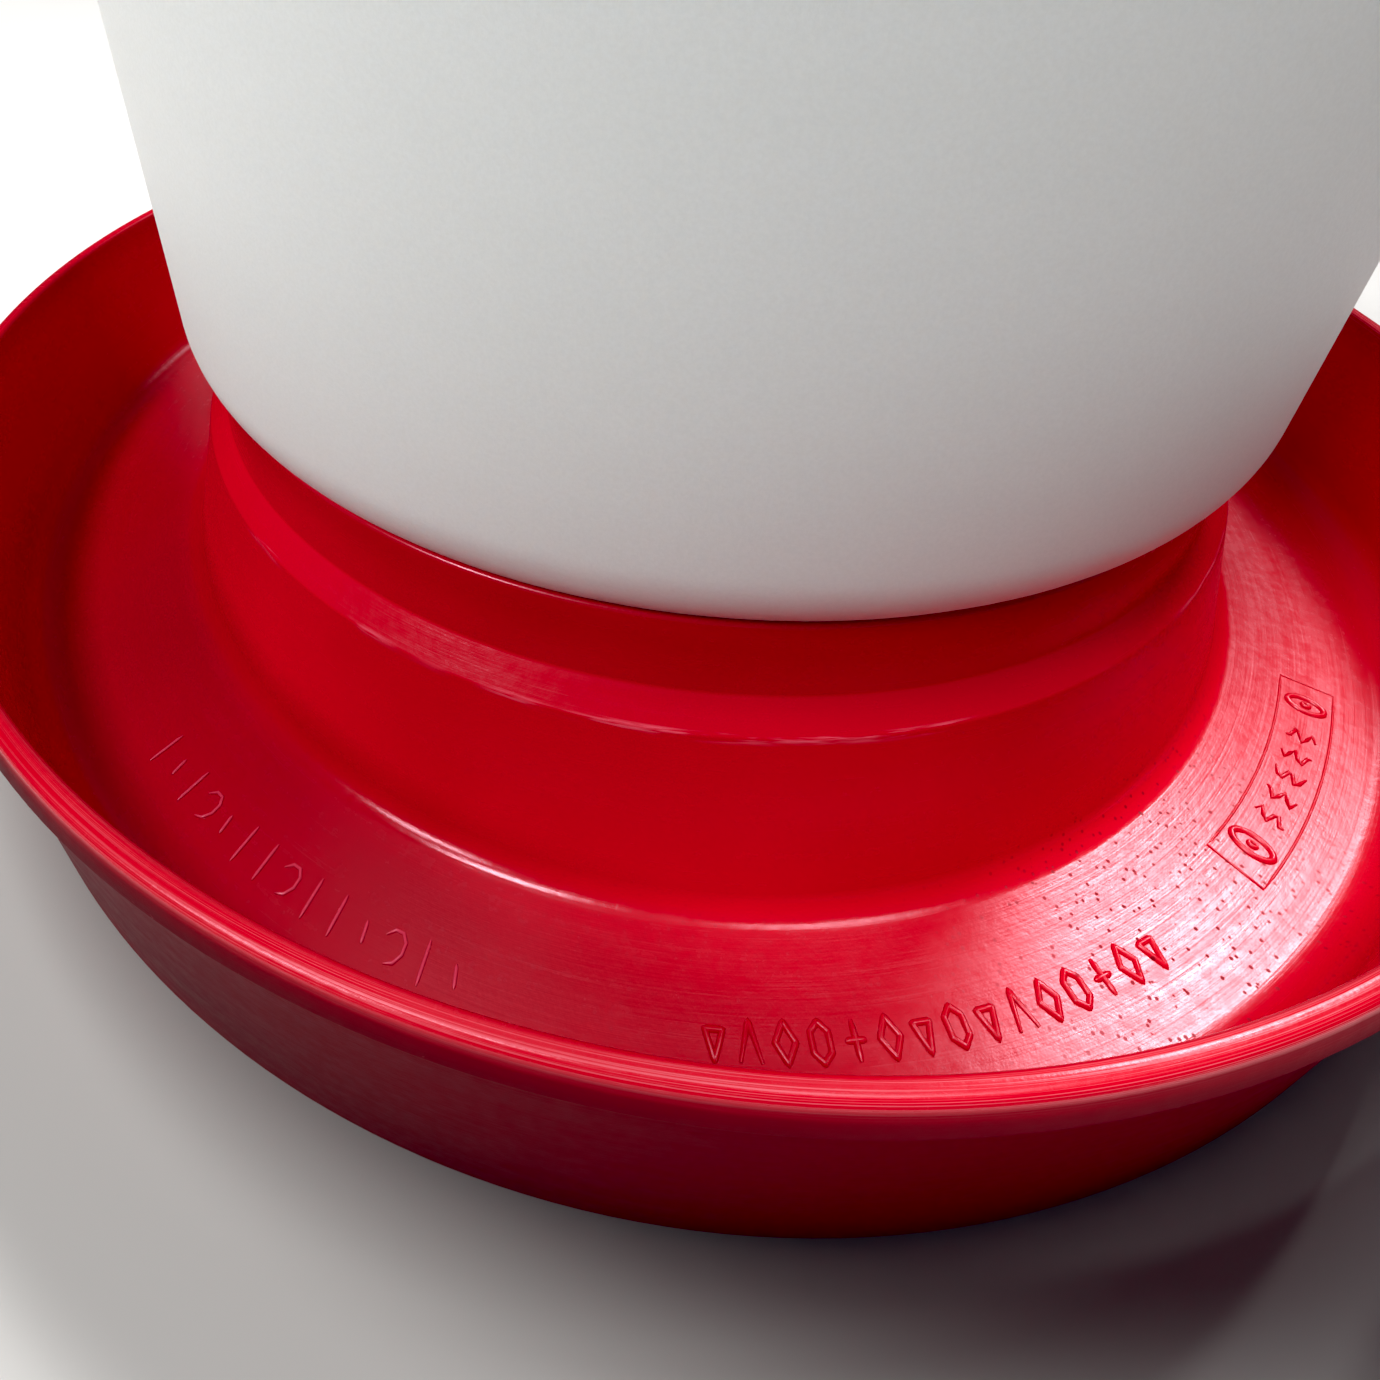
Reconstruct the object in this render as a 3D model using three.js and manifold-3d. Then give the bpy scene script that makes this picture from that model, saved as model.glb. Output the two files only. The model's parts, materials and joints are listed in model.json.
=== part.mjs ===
// A top-filled vacuum drinker for poultry: a red drinking pan, a tall translucent tank
// that twists into it, a screw cap on the filling neck, a carrying bail and a stopper.
// Millimetres, +Z up. The origin is at the centre of the pan's underside, -Y is the front.

import * as THREE from 'three';
import * as BufferGeometryUtils from 'three/addons/utils/BufferGeometryUtils.js';
import Module from 'manifold-3d';

const wasm = await Module();
wasm.setup();

// ---- Tank -----------------------------------------------------------------------------

const TANK_RADIUS = 134.5;
const TANK_HEIGHT = 350;        // body, from the underside to the crown
const TANK_WALL = 2.5;
const TANK_LIFT = 2;            // underside of the tank above the pan's lip
const TANK_CORNER = 20;         // lower corner
const SHOULDER_CORNER = 34;     // upper corner
const CROWN_RISE = 8;           // the crown slopes up to the filling neck
const FILL_NECK_RADIUS = 42;    // outside of the filling neck
const FILL_NECK_HEIGHT = 20;
const FILL_NECK_FILLET = 5;

// ---- Drinking pan ---------------------------------------------------------------------

const PAN_HEIGHT = 54;          // ground to the top of the lip
const PAN_WALL = 3;
const FLOOR_THICKNESS = 4;
const TROUGH_WIDTH = 41.1;      // hub's foot to the inner edge of the lip
const LIP_TOP_WIDTH = 3;        // flat top of the lip
const LIP_DRAFT = 1.5;          // the lip's outer face leans in by this towards the top
const LIP_HEIGHT = 6;
const LIP_OVERHANG = 2.2;       // lip beyond the skirt
const WALL_DRAFT = 2.5;         // the trough's outer wall leans in by this towards the floor
const SKIRT_DRAFT = 0.8;
const SKIRT_EDGE = 2;           // rounded lower edge of the skirt
const TROUGH_FILLET = 6;        // outer wall to floor
const HUB_FILLET = 5;           // hub to floor
const HUB_DRAFT = 9.4;          // the hub widens by this from the ledge to its foot
const LEDGE_DEPTH = 13.8;       // edge of the sloping ledge below the lip
const LEDGE_WIDTH = 4.8;
const LEDGE_RISE = 5;
const COLLAR_INSET = 4.3;       // foot of the collar inside the tank's wall
const COLLAR_DRAFT = 1.2;
const COLLAR_GAP = 0.7;         // collar rim to the tank's rounded corner
const SEAT_DEPTH = 12;          // gasket seat below the lip
const SEAT_WIDTH = 14;          // collar bore to the mouth of the lower well
const WELL_RECESS = 1;          // the well's underside stands clear of the ground
const OUTLET_RADIUS = 5;        // bore between the well and the trough
const OUTLET_WALL = 3;
const OUTLET_DROP = 1;          // top of the outlet's boss below the gasket seat
const OUTLET_STAND = 0.5;       // the stopper's flange clears the hub's sloping wall by this

// ---- Twist lock between tank and pan --------------------------------------------------

const LOCK_COUNT = 4;
const LOCK_LEAD = 32;           // rise in one whole turn
const LOCK_HEIGHT = 3.2;
const LOCK_DEPTH = 7;           // the tank's lugs stand out by this
const LOCK_DEGREES = 30;        // length of a lug round the axis
const LOCK_SIDE_GAP = 2;        // the tank's lugs in the collar's bore
const LOCK_TIP_GAP = 1;         // the collar's lugs to the tank's mouth
const LOCK_GAP = 0.5;           // between locked lugs
const LOCK_FOOT = 0.3;          // the tank's lugs above the rim of its mouth

// ---- Filling cap ----------------------------------------------------------------------

const CAP_LEAD = 12;
const CAP_STARTS = 2;
const THREAD_DEPTH = 2;
const THREAD_HEIGHT = 2.4;
const THREAD_TAPER = 0.8;       // a thread's crest is narrower than its root by this
const THREAD_TOP = 10;          // start of the neck's thread below the rim
const NECK_THREAD_DEGREES = 140;
const CAP_THREAD_DEGREES = 60;
const CAP_THREAD_SHIFT = 40;    // degrees from the start of a neck thread
const THREAD_GAP = 0.8;
const CAP_WALL = 2.8;
const CAP_SKIRT = 17;
const CAP_TOP = 3;
const CAP_EDGE = 2;
const CAP_RIBS = 20;
const CAP_RIB_DEPTH = 1.6;
const CAP_RIB_WIDTH = 4;
const CAP_BAR_LENGTH = 72;      // cross bar to turn the cap by
const CAP_BAR_WIDTH = 12;
const CAP_BAR_HEIGHT = 10;

// ---- Seals and stopper ----------------------------------------------------------------

const GASKET_THICKNESS = 3;
const GASKET_WIDTH = 5;
const GASKET_LUG_GAP = 0.5;     // the gasket lifts out past the collar's lugs
const CAP_GASKET_THICKNESS = 2.5;
const CAP_GASKET_WIDTH = 8;
const CAP_GASKET_GAP = 0.5;     // the cap's gasket in its bore
const PLUG_LENGTH = 14;         // part of the stopper inside the outlet
const PLUG_TAPER = 0.9;
const PLUG_GAP = 0.35;
const PLUG_RIM = 3;             // the flange is wider than the outlet by this
const PLUG_FLANGE = 2.5;
const TAB_REACH = 13;
const TAB_WIDTH = 13;
const TAB_THICKNESS = 3;
const TAB_HOLE = 3.5;

// ---- Bail -----------------------------------------------------------------------------

const WIRE_RADIUS = 2.5;
const BAIL_REACH = 178;         // pivot line to the middle of the grip
const BAIL_BEND = 7;            // where the leg turns into the ear
const BAIL_SIDE_GAP = 1;        // start of that bend to the ear's face
const PIN_DEPTH = 8;            // wire end inside the ear
const PIN_GAP = 0.6;            // wire in the ear's bore
const PIN_END_GAP = 1;
const EAR_DROP = 46;            // pivot line below the crown
const EAR_RADIUS = 11;
const EAR_STAND = 11;           // ear beyond the tank's wall
const GRIP_LENGTH = 96;
const GRIP_RADIUS = 10.5;
const GRIP_SWELL = 1.5;         // the grip's ends are slimmer than its middle by this
const GRIP_GAP = 0.5;           // bore over the wire
const GRIP_REST_GAP = 0.6;      // hanging grip to the tank's wall

const REST_GAP = 0.3;           // between pieces that rest on each other
const EMBED = 1;                // how far a feature starts inside the wall it grows from
const ROUND_STEPS = 56;         // facets round the main axis
const SMALL_STEPS = 20;         // facets round a small boss or bore
const WIRE_SIDES = 8;
const WIRE_STEPS = 150;

// ---- Helpers --------------------------------------------------------------------------

const TURN = 2 * Math.PI;
const { degToRad, radToDeg } = THREE.MathUtils;

// Points of an arc in a profile, as [radius, height] pairs.
function arc(centreR, centreZ, radius, fromDegrees, toDegrees, steps = 4) {
	const points = [];
	for (let i = 0; i <= steps; i++) {
		const angle = degToRad(fromDegrees + (toDegrees - fromDegrees) * i / steps);
		points.push([centreR + radius * Math.cos(angle), centreZ + radius * Math.sin(angle)]);
	}
	return points;
}

// Turns a profile that starts and ends on the axis round +Z.
function lathe(profile, steps = ROUND_STEPS) {
	const points = profile.map(([r, z]) => new THREE.Vector2(r, z));
	return new THREE.LatheGeometry(points, steps).rotateX(Math.PI / 2);
}

// The same for a section that closes on itself, away from the axis.
function ring(section, steps = ROUND_STEPS) {
	return lathe([...section, section[0]], steps);
}

function toSolid(geometry) {
	const bare = geometry.clone();
	bare.deleteAttribute('normal');
	bare.deleteAttribute('uv');
	const merged = BufferGeometryUtils.mergeVertices(bare, 1e-4);
	const mesh = new wasm.Mesh({
		numProp: 3,
		vertProperties: new Float32Array(merged.attributes.position.array),
		triVerts: new Uint32Array(merged.index.array),
	});
	return new wasm.Manifold(mesh);
}

function toGeometry(solid) {
	const mesh = solid.getMesh();
	const geometry = new THREE.BufferGeometry();
	geometry.setAttribute('position', new THREE.BufferAttribute(new Float32Array(mesh.vertProperties), 3));
	geometry.setIndex(new THREE.BufferAttribute(new Uint32Array(mesh.triVerts), 1));
	const flat = geometry.toNonIndexed();
	flat.computeVertexNormals();
	return flat;
}

// Joins geometries to a body, then cuts others out of it.
function build(body, added, removed = []) {
	let solid = toSolid(body);
	for (const geometry of added) {
		solid = solid.add(toSolid(geometry));
	}
	for (const geometry of removed) {
		solid = solid.subtract(toSolid(geometry));
	}
	return toGeometry(solid);
}

// A ridge that climbs round +Z, with a four-sided section between two radii.
function helicalRidge({ root, crest, height, taper = 0, lead, start, sweep, z, steps = 5 }) {
	const positions = [];
	const index = [];
	for (let i = 0; i <= steps; i++) {
		const turned = degToRad(sweep) * i / steps;
		const angle = degToRad(start) + turned;
		const middle = z + lead * turned / TURN;
		const section = [
			[root, -height / 2],
			[crest, -(height - taper) / 2],
			[crest, (height - taper) / 2],
			[root, height / 2],
		];
		for (const [radius, rise] of section) {
			positions.push(radius * Math.cos(angle), radius * Math.sin(angle), middle + rise);
		}
	}
	const outward = crest > root;
	const addFace = (a, b, c) => index.push(...(outward ? [a, b, c] : [a, c, b]));
	for (let i = 0; i < steps; i++) {
		for (let side = 0; side < 4; side++) {
			const a = 4 * i + side;
			const b = 4 * i + (side + 1) % 4;
			addFace(a, a + 4, b);
			addFace(b, a + 4, b + 4);
		}
	}
	const last = 4 * steps;
	addFace(0, 1, 2);
	addFace(0, 2, 3);
	addFace(last, last + 2, last + 1);
	addFace(last, last + 3, last + 2);
	const geometry = new THREE.BufferGeometry();
	geometry.setAttribute('position', new THREE.Float32BufferAttribute(positions, 3));
	geometry.setIndex(index);
	return geometry;
}

// One ridge repeated evenly round the axis.
function ridges(count, options) {
	const list = [];
	for (let i = 0; i < count; i++) {
		list.push(helicalRidge({ ...options, start: options.start + 360 * i / count }));
	}
	return list;
}

// A round bar along +Y, at a height.
function barAlongY(radius, fromY, toY, z = 0) {
	const geometry = new THREE.CylinderGeometry(radius, radius, toY - fromY, SMALL_STEPS);
	return geometry.translate(0, (fromY + toY) / 2, z);
}

// A round bar along X, at a height.
function barAlongX(radius, fromX, toX, z) {
	const geometry = new THREE.CylinderGeometry(radius, radius, Math.abs(toX - fromX), SMALL_STEPS);
	return geometry.rotateZ(Math.PI / 2).translate((fromX + toX) / 2, 0, z);
}

// ---- Sizes that follow from the driving ones ------------------------------------------

const collarFootRadius = TANK_RADIUS - COLLAR_INSET;
const collarTopRadius = collarFootRadius - COLLAR_DRAFT;
const collarBore = collarTopRadius - PAN_WALL;
const ledgeRadius = collarFootRadius + LEDGE_WIDTH;
const hubRadius = ledgeRadius + HUB_DRAFT;
const lipInnerRadius = hubRadius + TROUGH_WIDTH;
const lipTopRadius = lipInnerRadius + LIP_TOP_WIDTH;
const lipRadius = lipTopRadius + LIP_DRAFT;
const skirtTopRadius = lipRadius - LIP_OVERHANG;
const skirtFootRadius = skirtTopRadius - SKIRT_DRAFT;

const ledgeZ = PAN_HEIGHT - LEDGE_DEPTH;
const seatZ = PAN_HEIGHT - SEAT_DEPTH;
const wellRadius = collarBore - SEAT_WIDTH;
const outletZ = seatZ - PAN_WALL - OUTLET_DROP - OUTLET_WALL - OUTLET_RADIUS;
const outletFaceY = hubRadiusAt(outletZ - OUTLET_RADIUS - PLUG_RIM) + OUTLET_STAND;

const mouthRadius = collarBore - LOCK_SIDE_GAP - LOCK_DEPTH;
const mouthBore = mouthRadius - TANK_WALL;
const gasketZ = seatZ + REST_GAP;
const mouthZ = gasketZ + GASKET_THICKNESS + REST_GAP;
const lockZ = mouthZ + LOCK_FOOT + LOCK_HEIGHT / 2;

const tankFloorZ = PAN_HEIGHT + TANK_LIFT;
const cornerCentreR = TANK_RADIUS - TANK_CORNER;
const cornerCentreZ = tankFloorZ + TANK_CORNER;
const crownZ = tankFloorZ + TANK_HEIGHT;
const neckFootZ = crownZ + CROWN_RISE;
const neckTopZ = neckFootZ + FILL_NECK_HEIGHT;
const neckBore = FILL_NECK_RADIUS - TANK_WALL;
const neckThreadZ = neckTopZ - THREAD_TOP;

const capBore = FILL_NECK_RADIUS + THREAD_DEPTH + THREAD_GAP;
const capRadius = capBore + CAP_WALL;
const capGasketZ = neckTopZ + REST_GAP;
const capUndersideZ = capGasketZ + CAP_GASKET_THICKNESS + REST_GAP;
const capTopZ = capUndersideZ + CAP_TOP;

const earZ = crownZ - EAR_DROP;
const earFaceX = TANK_RADIUS + EAR_STAND;
const legX = earFaceX + BAIL_SIDE_GAP + BAIL_BEND;

// Radius of the hub's outer wall at a height above the ground.
function hubRadiusAt(z) {
	const share = (z - FLOOR_THICKNESS) / (ledgeZ - FLOOR_THICKNESS);
	return hubRadius - HUB_DRAFT * share;
}

// Height of the tank's rounded lower corner at a radius.
function cornerHeight(radius) {
	return cornerCentreZ - Math.sqrt(TANK_CORNER ** 2 - (radius - cornerCentreR) ** 2);
}

// ---- Pieces ---------------------------------------------------------------------------

function makeBasePan() {
	const wallFoot = lipInnerRadius - WALL_DRAFT;
	const lipUnderZ = PAN_HEIGHT - LIP_HEIGHT;
	const hubTilt = Math.atan(HUB_DRAFT / (ledgeZ - FLOOR_THICKNESS));
	const filletR = hubRadius + HUB_FILLET * Math.tan(Math.PI / 4 - hubTilt / 2);
	const profile = [
		[0, WELL_RECESS],
		[wellRadius + PAN_WALL, WELL_RECESS],
		[wellRadius + PAN_WALL, seatZ - PAN_WALL],
		[ledgeRadius - PAN_WALL, seatZ - PAN_WALL],
		[hubRadius - PAN_WALL, 0],
		...arc(skirtFootRadius - SKIRT_EDGE, SKIRT_EDGE, SKIRT_EDGE, -90, 0, 2),
		[skirtTopRadius, lipUnderZ],
		[lipRadius, lipUnderZ],
		[lipTopRadius, PAN_HEIGHT],
		[lipInnerRadius, PAN_HEIGHT],
		...arc(wallFoot - TROUGH_FILLET, FLOOR_THICKNESS + TROUGH_FILLET, TROUGH_FILLET, 0, -90, 3),
		...arc(filletR, FLOOR_THICKNESS + HUB_FILLET, HUB_FILLET, -90, -180 + radToDeg(hubTilt), 3),
		[ledgeRadius, ledgeZ],
		[collarFootRadius, ledgeZ + LEDGE_RISE],
		[collarTopRadius, cornerHeight(collarTopRadius) - COLLAR_GAP],
		[collarBore, cornerHeight(collarBore) - COLLAR_GAP],
		[collarBore, seatZ],
		[wellRadius, seatZ],
		[wellRadius, FLOOR_THICKNESS],
		[0, FLOOR_THICKNESS],
	];
	const boss = barAlongY(OUTLET_RADIUS + OUTLET_WALL, wellRadius + EMBED, outletFaceY, outletZ);
	const bore = barAlongY(OUTLET_RADIUS, wellRadius - PAN_WALL, outletFaceY + PAN_WALL, outletZ);
	const lugs = ridges(LOCK_COUNT, {
		root: collarBore + EMBED,
		crest: mouthRadius + LOCK_TIP_GAP,
		height: LOCK_HEIGHT,
		lead: LOCK_LEAD,
		start: -LOCK_DEGREES / 2,
		sweep: LOCK_DEGREES,
		z: lockZ + LOCK_HEIGHT + LOCK_GAP,
	});
	return build(lathe(profile), [boss, ...lugs], [bore]);
}

function makeTank() {
	const innerCorner = TANK_CORNER - TANK_WALL;
	const innerShoulder = SHOULDER_CORNER - TANK_WALL;
	const shoulderR = TANK_RADIUS - SHOULDER_CORNER;
	const shoulderZ = crownZ - SHOULDER_CORNER;
	const outerStart = -radToDeg(Math.acos((mouthRadius - cornerCentreR) / TANK_CORNER));
	const innerStart = -radToDeg(Math.acos((mouthBore - cornerCentreR) / innerCorner));
	const section = [
		[mouthRadius, mouthZ],
		...arc(cornerCentreR, cornerCentreZ, TANK_CORNER, outerStart, 0, 5),
		...arc(shoulderR, shoulderZ, SHOULDER_CORNER, 0, 90, 5),
		[FILL_NECK_RADIUS + FILL_NECK_FILLET, neckFootZ],
		[FILL_NECK_RADIUS, neckFootZ + FILL_NECK_FILLET],
		[FILL_NECK_RADIUS, neckTopZ],
		[neckBore, neckTopZ],
		[neckBore, neckFootZ - TANK_WALL],
		...arc(shoulderR, shoulderZ, innerShoulder, 90, 0, 4),
		...arc(cornerCentreR, cornerCentreZ, innerCorner, 0, innerStart, 4),
		[mouthBore, mouthZ],
	];
	const lugs = ridges(LOCK_COUNT, {
		root: mouthRadius - EMBED,
		crest: mouthRadius + LOCK_DEPTH,
		height: LOCK_HEIGHT,
		lead: LOCK_LEAD,
		start: -LOCK_DEGREES / 2,
		sweep: LOCK_DEGREES,
		z: lockZ,
	});
	const threads = ridges(CAP_STARTS, {
		root: FILL_NECK_RADIUS - EMBED,
		crest: FILL_NECK_RADIUS + THREAD_DEPTH,
		height: THREAD_HEIGHT,
		taper: THREAD_TAPER,
		lead: CAP_LEAD,
		start: 0,
		sweep: NECK_THREAD_DEGREES,
		z: neckThreadZ,
		steps: 10,
	});
	const ears = [];
	const earBores = [];
	for (const side of [-1, 1]) {
		const floorX = earFaceX - PIN_DEPTH - PIN_END_GAP;
		ears.push(barAlongX(EAR_RADIUS, side * (TANK_RADIUS - EMBED), side * earFaceX, earZ));
		earBores.push(barAlongX(WIRE_RADIUS + PIN_GAP, side * floorX, side * (earFaceX + EMBED), earZ));
	}
	return build(ring(section), [...lugs, ...threads, ...ears], earBores);
}

function makeTankGasket() {
	const outer = mouthRadius + LOCK_TIP_GAP - GASKET_LUG_GAP;
	return ring([
		[outer - GASKET_WIDTH, gasketZ],
		[outer, gasketZ],
		[outer, gasketZ + GASKET_THICKNESS],
		[outer - GASKET_WIDTH, gasketZ + GASKET_THICKNESS],
	]);
}

function makeCapGasket() {
	const outer = capBore - CAP_GASKET_GAP;
	return ring([
		[outer - CAP_GASKET_WIDTH, capGasketZ],
		[outer, capGasketZ],
		[outer, capGasketZ + CAP_GASKET_THICKNESS],
		[outer - CAP_GASKET_WIDTH, capGasketZ + CAP_GASKET_THICKNESS],
	]);
}

function makeFillCap() {
	const skirtZ = capUndersideZ - CAP_SKIRT;
	const profile = [
		[0, capUndersideZ],
		[capBore, capUndersideZ],
		[capBore, skirtZ],
		[capRadius, skirtZ],
		...arc(capRadius - CAP_EDGE, capTopZ - CAP_EDGE, CAP_EDGE, 0, 90, 2),
		[0, capTopZ],
	];
	const extras = ridges(CAP_STARTS, {
		root: capBore + EMBED,
		crest: capBore - THREAD_DEPTH,
		height: THREAD_HEIGHT,
		taper: THREAD_TAPER,
		lead: CAP_LEAD,
		start: CAP_THREAD_SHIFT,
		sweep: CAP_THREAD_DEGREES,
		z: neckThreadZ + CAP_LEAD * (CAP_THREAD_SHIFT / 360 - 1 / (2 * CAP_STARTS)),
	});
	const ribHeight = CAP_SKIRT + CAP_TOP - CAP_EDGE;
	for (let i = 0; i < CAP_RIBS; i++) {
		const rib = new THREE.BoxGeometry(CAP_RIB_DEPTH + EMBED, CAP_RIB_WIDTH, ribHeight);
		rib.translate(capRadius + (CAP_RIB_DEPTH - EMBED) / 2, 0, skirtZ + ribHeight / 2);
		extras.push(rib.rotateZ(TURN * i / CAP_RIBS));
	}
	const bar = new THREE.BoxGeometry(CAP_BAR_LENGTH, CAP_BAR_WIDTH, CAP_BAR_HEIGHT + EMBED);
	extras.push(bar.translate(0, 0, capTopZ + (CAP_BAR_HEIGHT - EMBED) / 2));
	return build(lathe(profile, 2 * CAP_RIBS), extras);
}

// The bail stands upright in its own frame, with its pivot line along X through the origin.
function makeBailWire() {
	const halfGrip = GRIP_LENGTH / 2 + WIRE_RADIUS;
	const sweep = legX - halfGrip;
	const point = (x, z) => new THREE.Vector3(x, 0, z);
	const half = (side) => [
		[point(side * (earFaceX - PIN_DEPTH), 0), point(side * (legX - BAIL_BEND), 0)],
		[point(side * (legX - BAIL_BEND), 0), point(side * legX, 0), point(side * legX, BAIL_BEND)],
		[point(side * legX, BAIL_BEND), point(side * legX, BAIL_REACH - sweep)],
		[point(side * legX, BAIL_REACH - sweep), point(side * legX, BAIL_REACH), point(side * halfGrip, BAIL_REACH)],
	];
	const path = new THREE.CurvePath();
	const addRun = (ends) => {
		path.add(ends.length === 3 ? new THREE.QuadraticBezierCurve3(...ends) : new THREE.LineCurve3(...ends));
	};
	half(-1).forEach(addRun);
	addRun([point(-halfGrip, BAIL_REACH), point(halfGrip, BAIL_REACH)]);
	half(1).reverse().forEach((ends) => addRun(ends.reverse()));
	const section = new THREE.Shape();
	section.absarc(0, 0, WIRE_RADIUS, 0, TURN);
	return new THREE.ExtrudeGeometry(section, {
		steps: WIRE_STEPS,
		curveSegments: WIRE_SIDES,
		bevelEnabled: false,
		extrudePath: path,
	});
}

function makeBailGrip() {
	const bore = WIRE_RADIUS + GRIP_GAP;
	const halfLength = GRIP_LENGTH / 2;
	const end = GRIP_RADIUS - GRIP_SWELL;
	const section = [
		[bore, -halfLength],
		[end, -halfLength],
		[GRIP_RADIUS, -halfLength / 2],
		[GRIP_RADIUS, halfLength / 2],
		[end, halfLength],
		[bore, halfLength],
	];
	return ring(section, SMALL_STEPS).rotateY(Math.PI / 2);
}

function makeOutletPlug() {
	const rootRadius = OUTLET_RADIUS - PLUG_GAP;
	const flangeRadius = OUTLET_RADIUS + PLUG_RIM;
	const flangeEnd = REST_GAP + PLUG_FLANGE;
	const profile = [
		[0, -PLUG_LENGTH],
		[rootRadius - PLUG_TAPER, -PLUG_LENGTH],
		[rootRadius, 0],
		[rootRadius, REST_GAP],
		[flangeRadius, REST_GAP],
		[flangeRadius, flangeEnd],
		[0, flangeEnd],
	];
	const tab = new THREE.BoxGeometry(TAB_WIDTH, TAB_THICKNESS, TAB_REACH + EMBED);
	tab.translate(0, 0, flangeEnd + (TAB_REACH - EMBED) / 2);
	const hole = barAlongY(TAB_HOLE, -TAB_THICKNESS, TAB_THICKNESS, flangeEnd + TAB_REACH / 2);
	const upright = build(lathe(profile, SMALL_STEPS), [tab], [hole]);
	return upright.rotateX(-Math.PI / 2);
}

// ---- Assembly -------------------------------------------------------------------------

const finishes = {
	red: { color: 0xb0101c, roughness: 0.32, metalness: 0 },
	milk: { color: 0xd3d4ce, roughness: 0.55, metalness: 0 },
	rubber: { color: 0x232323, roughness: 0.8, metalness: 0 },
	steel: { color: 0xa9adb2, roughness: 0.35, metalness: 1 },
	black: { color: 0x1b1b1d, roughness: 0.5, metalness: 0 },
};

function piece(name, geometry, finish) {
	const mesh = new THREE.Mesh(geometry, new THREE.MeshStandardMaterial(finishes[finish]));
	mesh.name = name;
	return mesh;
}

const fount = new THREE.Group();
fount.add(piece('base_pan', makeBasePan(), 'red'));
fount.add(piece('tank', makeTank(), 'milk'));
fount.add(piece('tank_gasket', makeTankGasket(), 'rubber'));
fount.add(piece('fill_cap', makeFillCap(), 'red'));
fount.add(piece('cap_gasket', makeCapGasket(), 'rubber'));

// The bail hangs behind the tank, with its grip against the wall.
const bail = new THREE.Group();
const gripStand = TANK_RADIUS + GRIP_REST_GAP + GRIP_RADIUS;
bail.position.z = earZ;
bail.rotation.x = -Math.PI / 2 - Math.acos(gripStand / BAIL_REACH);
const grip = piece('bail_grip', makeBailGrip(), 'black');
grip.position.z = BAIL_REACH;
bail.add(piece('bail_wire', makeBailWire(), 'steel'), grip);
fount.add(bail);

const plug = piece('outlet_plug', makeOutletPlug(), 'rubber');
plug.position.set(0, outletFaceY, outletZ);
fount.add(plug);

export default fount;
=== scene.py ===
# %% [markdown]
# # A poultry drinker: a red pan, a milky tank, a cap, a bail and a stopper
#
# A vacuum drinker is two big polyethylene mouldings and a few small fittings. The red pan is
# injection moulded, so it has crisp edges, drafted walls and a satin gloss. The tank is blow
# moulded, so it has soft corners and one wall of even thickness.
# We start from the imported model, because its sizes and its joints are settled, and make each
# piece again with fine rounding and a real finish.

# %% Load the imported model
import json
import math

import bpy
import numpy as np
from mathutils import Matrix, Vector


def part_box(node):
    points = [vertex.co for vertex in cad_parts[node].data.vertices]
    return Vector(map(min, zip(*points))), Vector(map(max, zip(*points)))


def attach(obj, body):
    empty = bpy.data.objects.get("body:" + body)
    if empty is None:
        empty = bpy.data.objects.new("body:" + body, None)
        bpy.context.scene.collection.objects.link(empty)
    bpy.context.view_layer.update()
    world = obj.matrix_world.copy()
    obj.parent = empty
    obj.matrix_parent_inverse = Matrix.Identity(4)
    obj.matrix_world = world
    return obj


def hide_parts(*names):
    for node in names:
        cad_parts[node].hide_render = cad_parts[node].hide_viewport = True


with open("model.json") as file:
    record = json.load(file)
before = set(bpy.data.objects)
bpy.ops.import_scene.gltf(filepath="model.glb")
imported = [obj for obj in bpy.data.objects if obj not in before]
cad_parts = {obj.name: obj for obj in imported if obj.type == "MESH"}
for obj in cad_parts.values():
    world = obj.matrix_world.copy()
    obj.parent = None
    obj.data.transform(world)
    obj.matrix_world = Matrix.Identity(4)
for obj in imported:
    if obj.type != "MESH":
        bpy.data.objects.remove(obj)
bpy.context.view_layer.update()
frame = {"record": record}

MM = 0.001
pan_low, pan_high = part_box("base_pan")
tank_low, tank_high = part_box("tank")
print("pan is", round(pan_high.x / MM, 1), "mm in radius")

# %% [markdown]
# ## The camera and the light
#
# The drinker is seen from close above its front edge, with a wide lens, so the pan's circles
# spread strongly towards the viewer. A camera in Blender looks along its own -Z, so its
# rotation is put together from three turns: the tilt down, a small pan and a small roll.
# The lens is also shifted, which keeps the pan low in the frame without tilting further.

# %% Place the camera
FRAME_WIDTH = 36.0              # sensor, millimetres
LENS = 22.88
SHIFT = (0.0725, -0.228)
CAMERA_AT = (0.0, -227.7 * MM, 169.8 * MM)
TILT_DOWN = math.radians(33.0)
PAN = math.radians(6.7)
ROLL = math.radians(5.7)


def camera_axes(tilt, pan, roll):
    """Right, down and forward directions of a camera that first looks along +Y."""
    s, c = math.sin(tilt), math.cos(tilt)
    level = Matrix(((1, 0, 0), (0, -s, -c), (0, c, -s)))
    s, c = math.sin(pan), math.cos(pan)
    pan_turn = Matrix(((c, 0, s), (0, 1, 0), (-s, 0, c)))
    s, c = math.sin(roll), math.cos(roll)
    roll_turn = Matrix(((c, -s, 0), (s, c, 0), (0, 0, 1)))
    return roll_turn @ pan_turn @ level


right, down, forward = camera_axes(TILT_DOWN, PAN, ROLL)
lens = bpy.data.cameras.new("viewer")
lens.sensor_width = FRAME_WIDTH
lens.lens = LENS
lens.shift_x, lens.shift_y = SHIFT
lens.clip_start = 0.01
viewer = bpy.data.objects.new("viewer", lens)
viewer.matrix_world = Matrix.Translation(CAMERA_AT) @ Matrix((right, -down, -forward)).transposed().to_4x4()
bpy.context.scene.collection.objects.link(viewer)
bpy.context.scene.camera = viewer
print("camera looks along", [round(value, 3) for value in forward])

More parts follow.
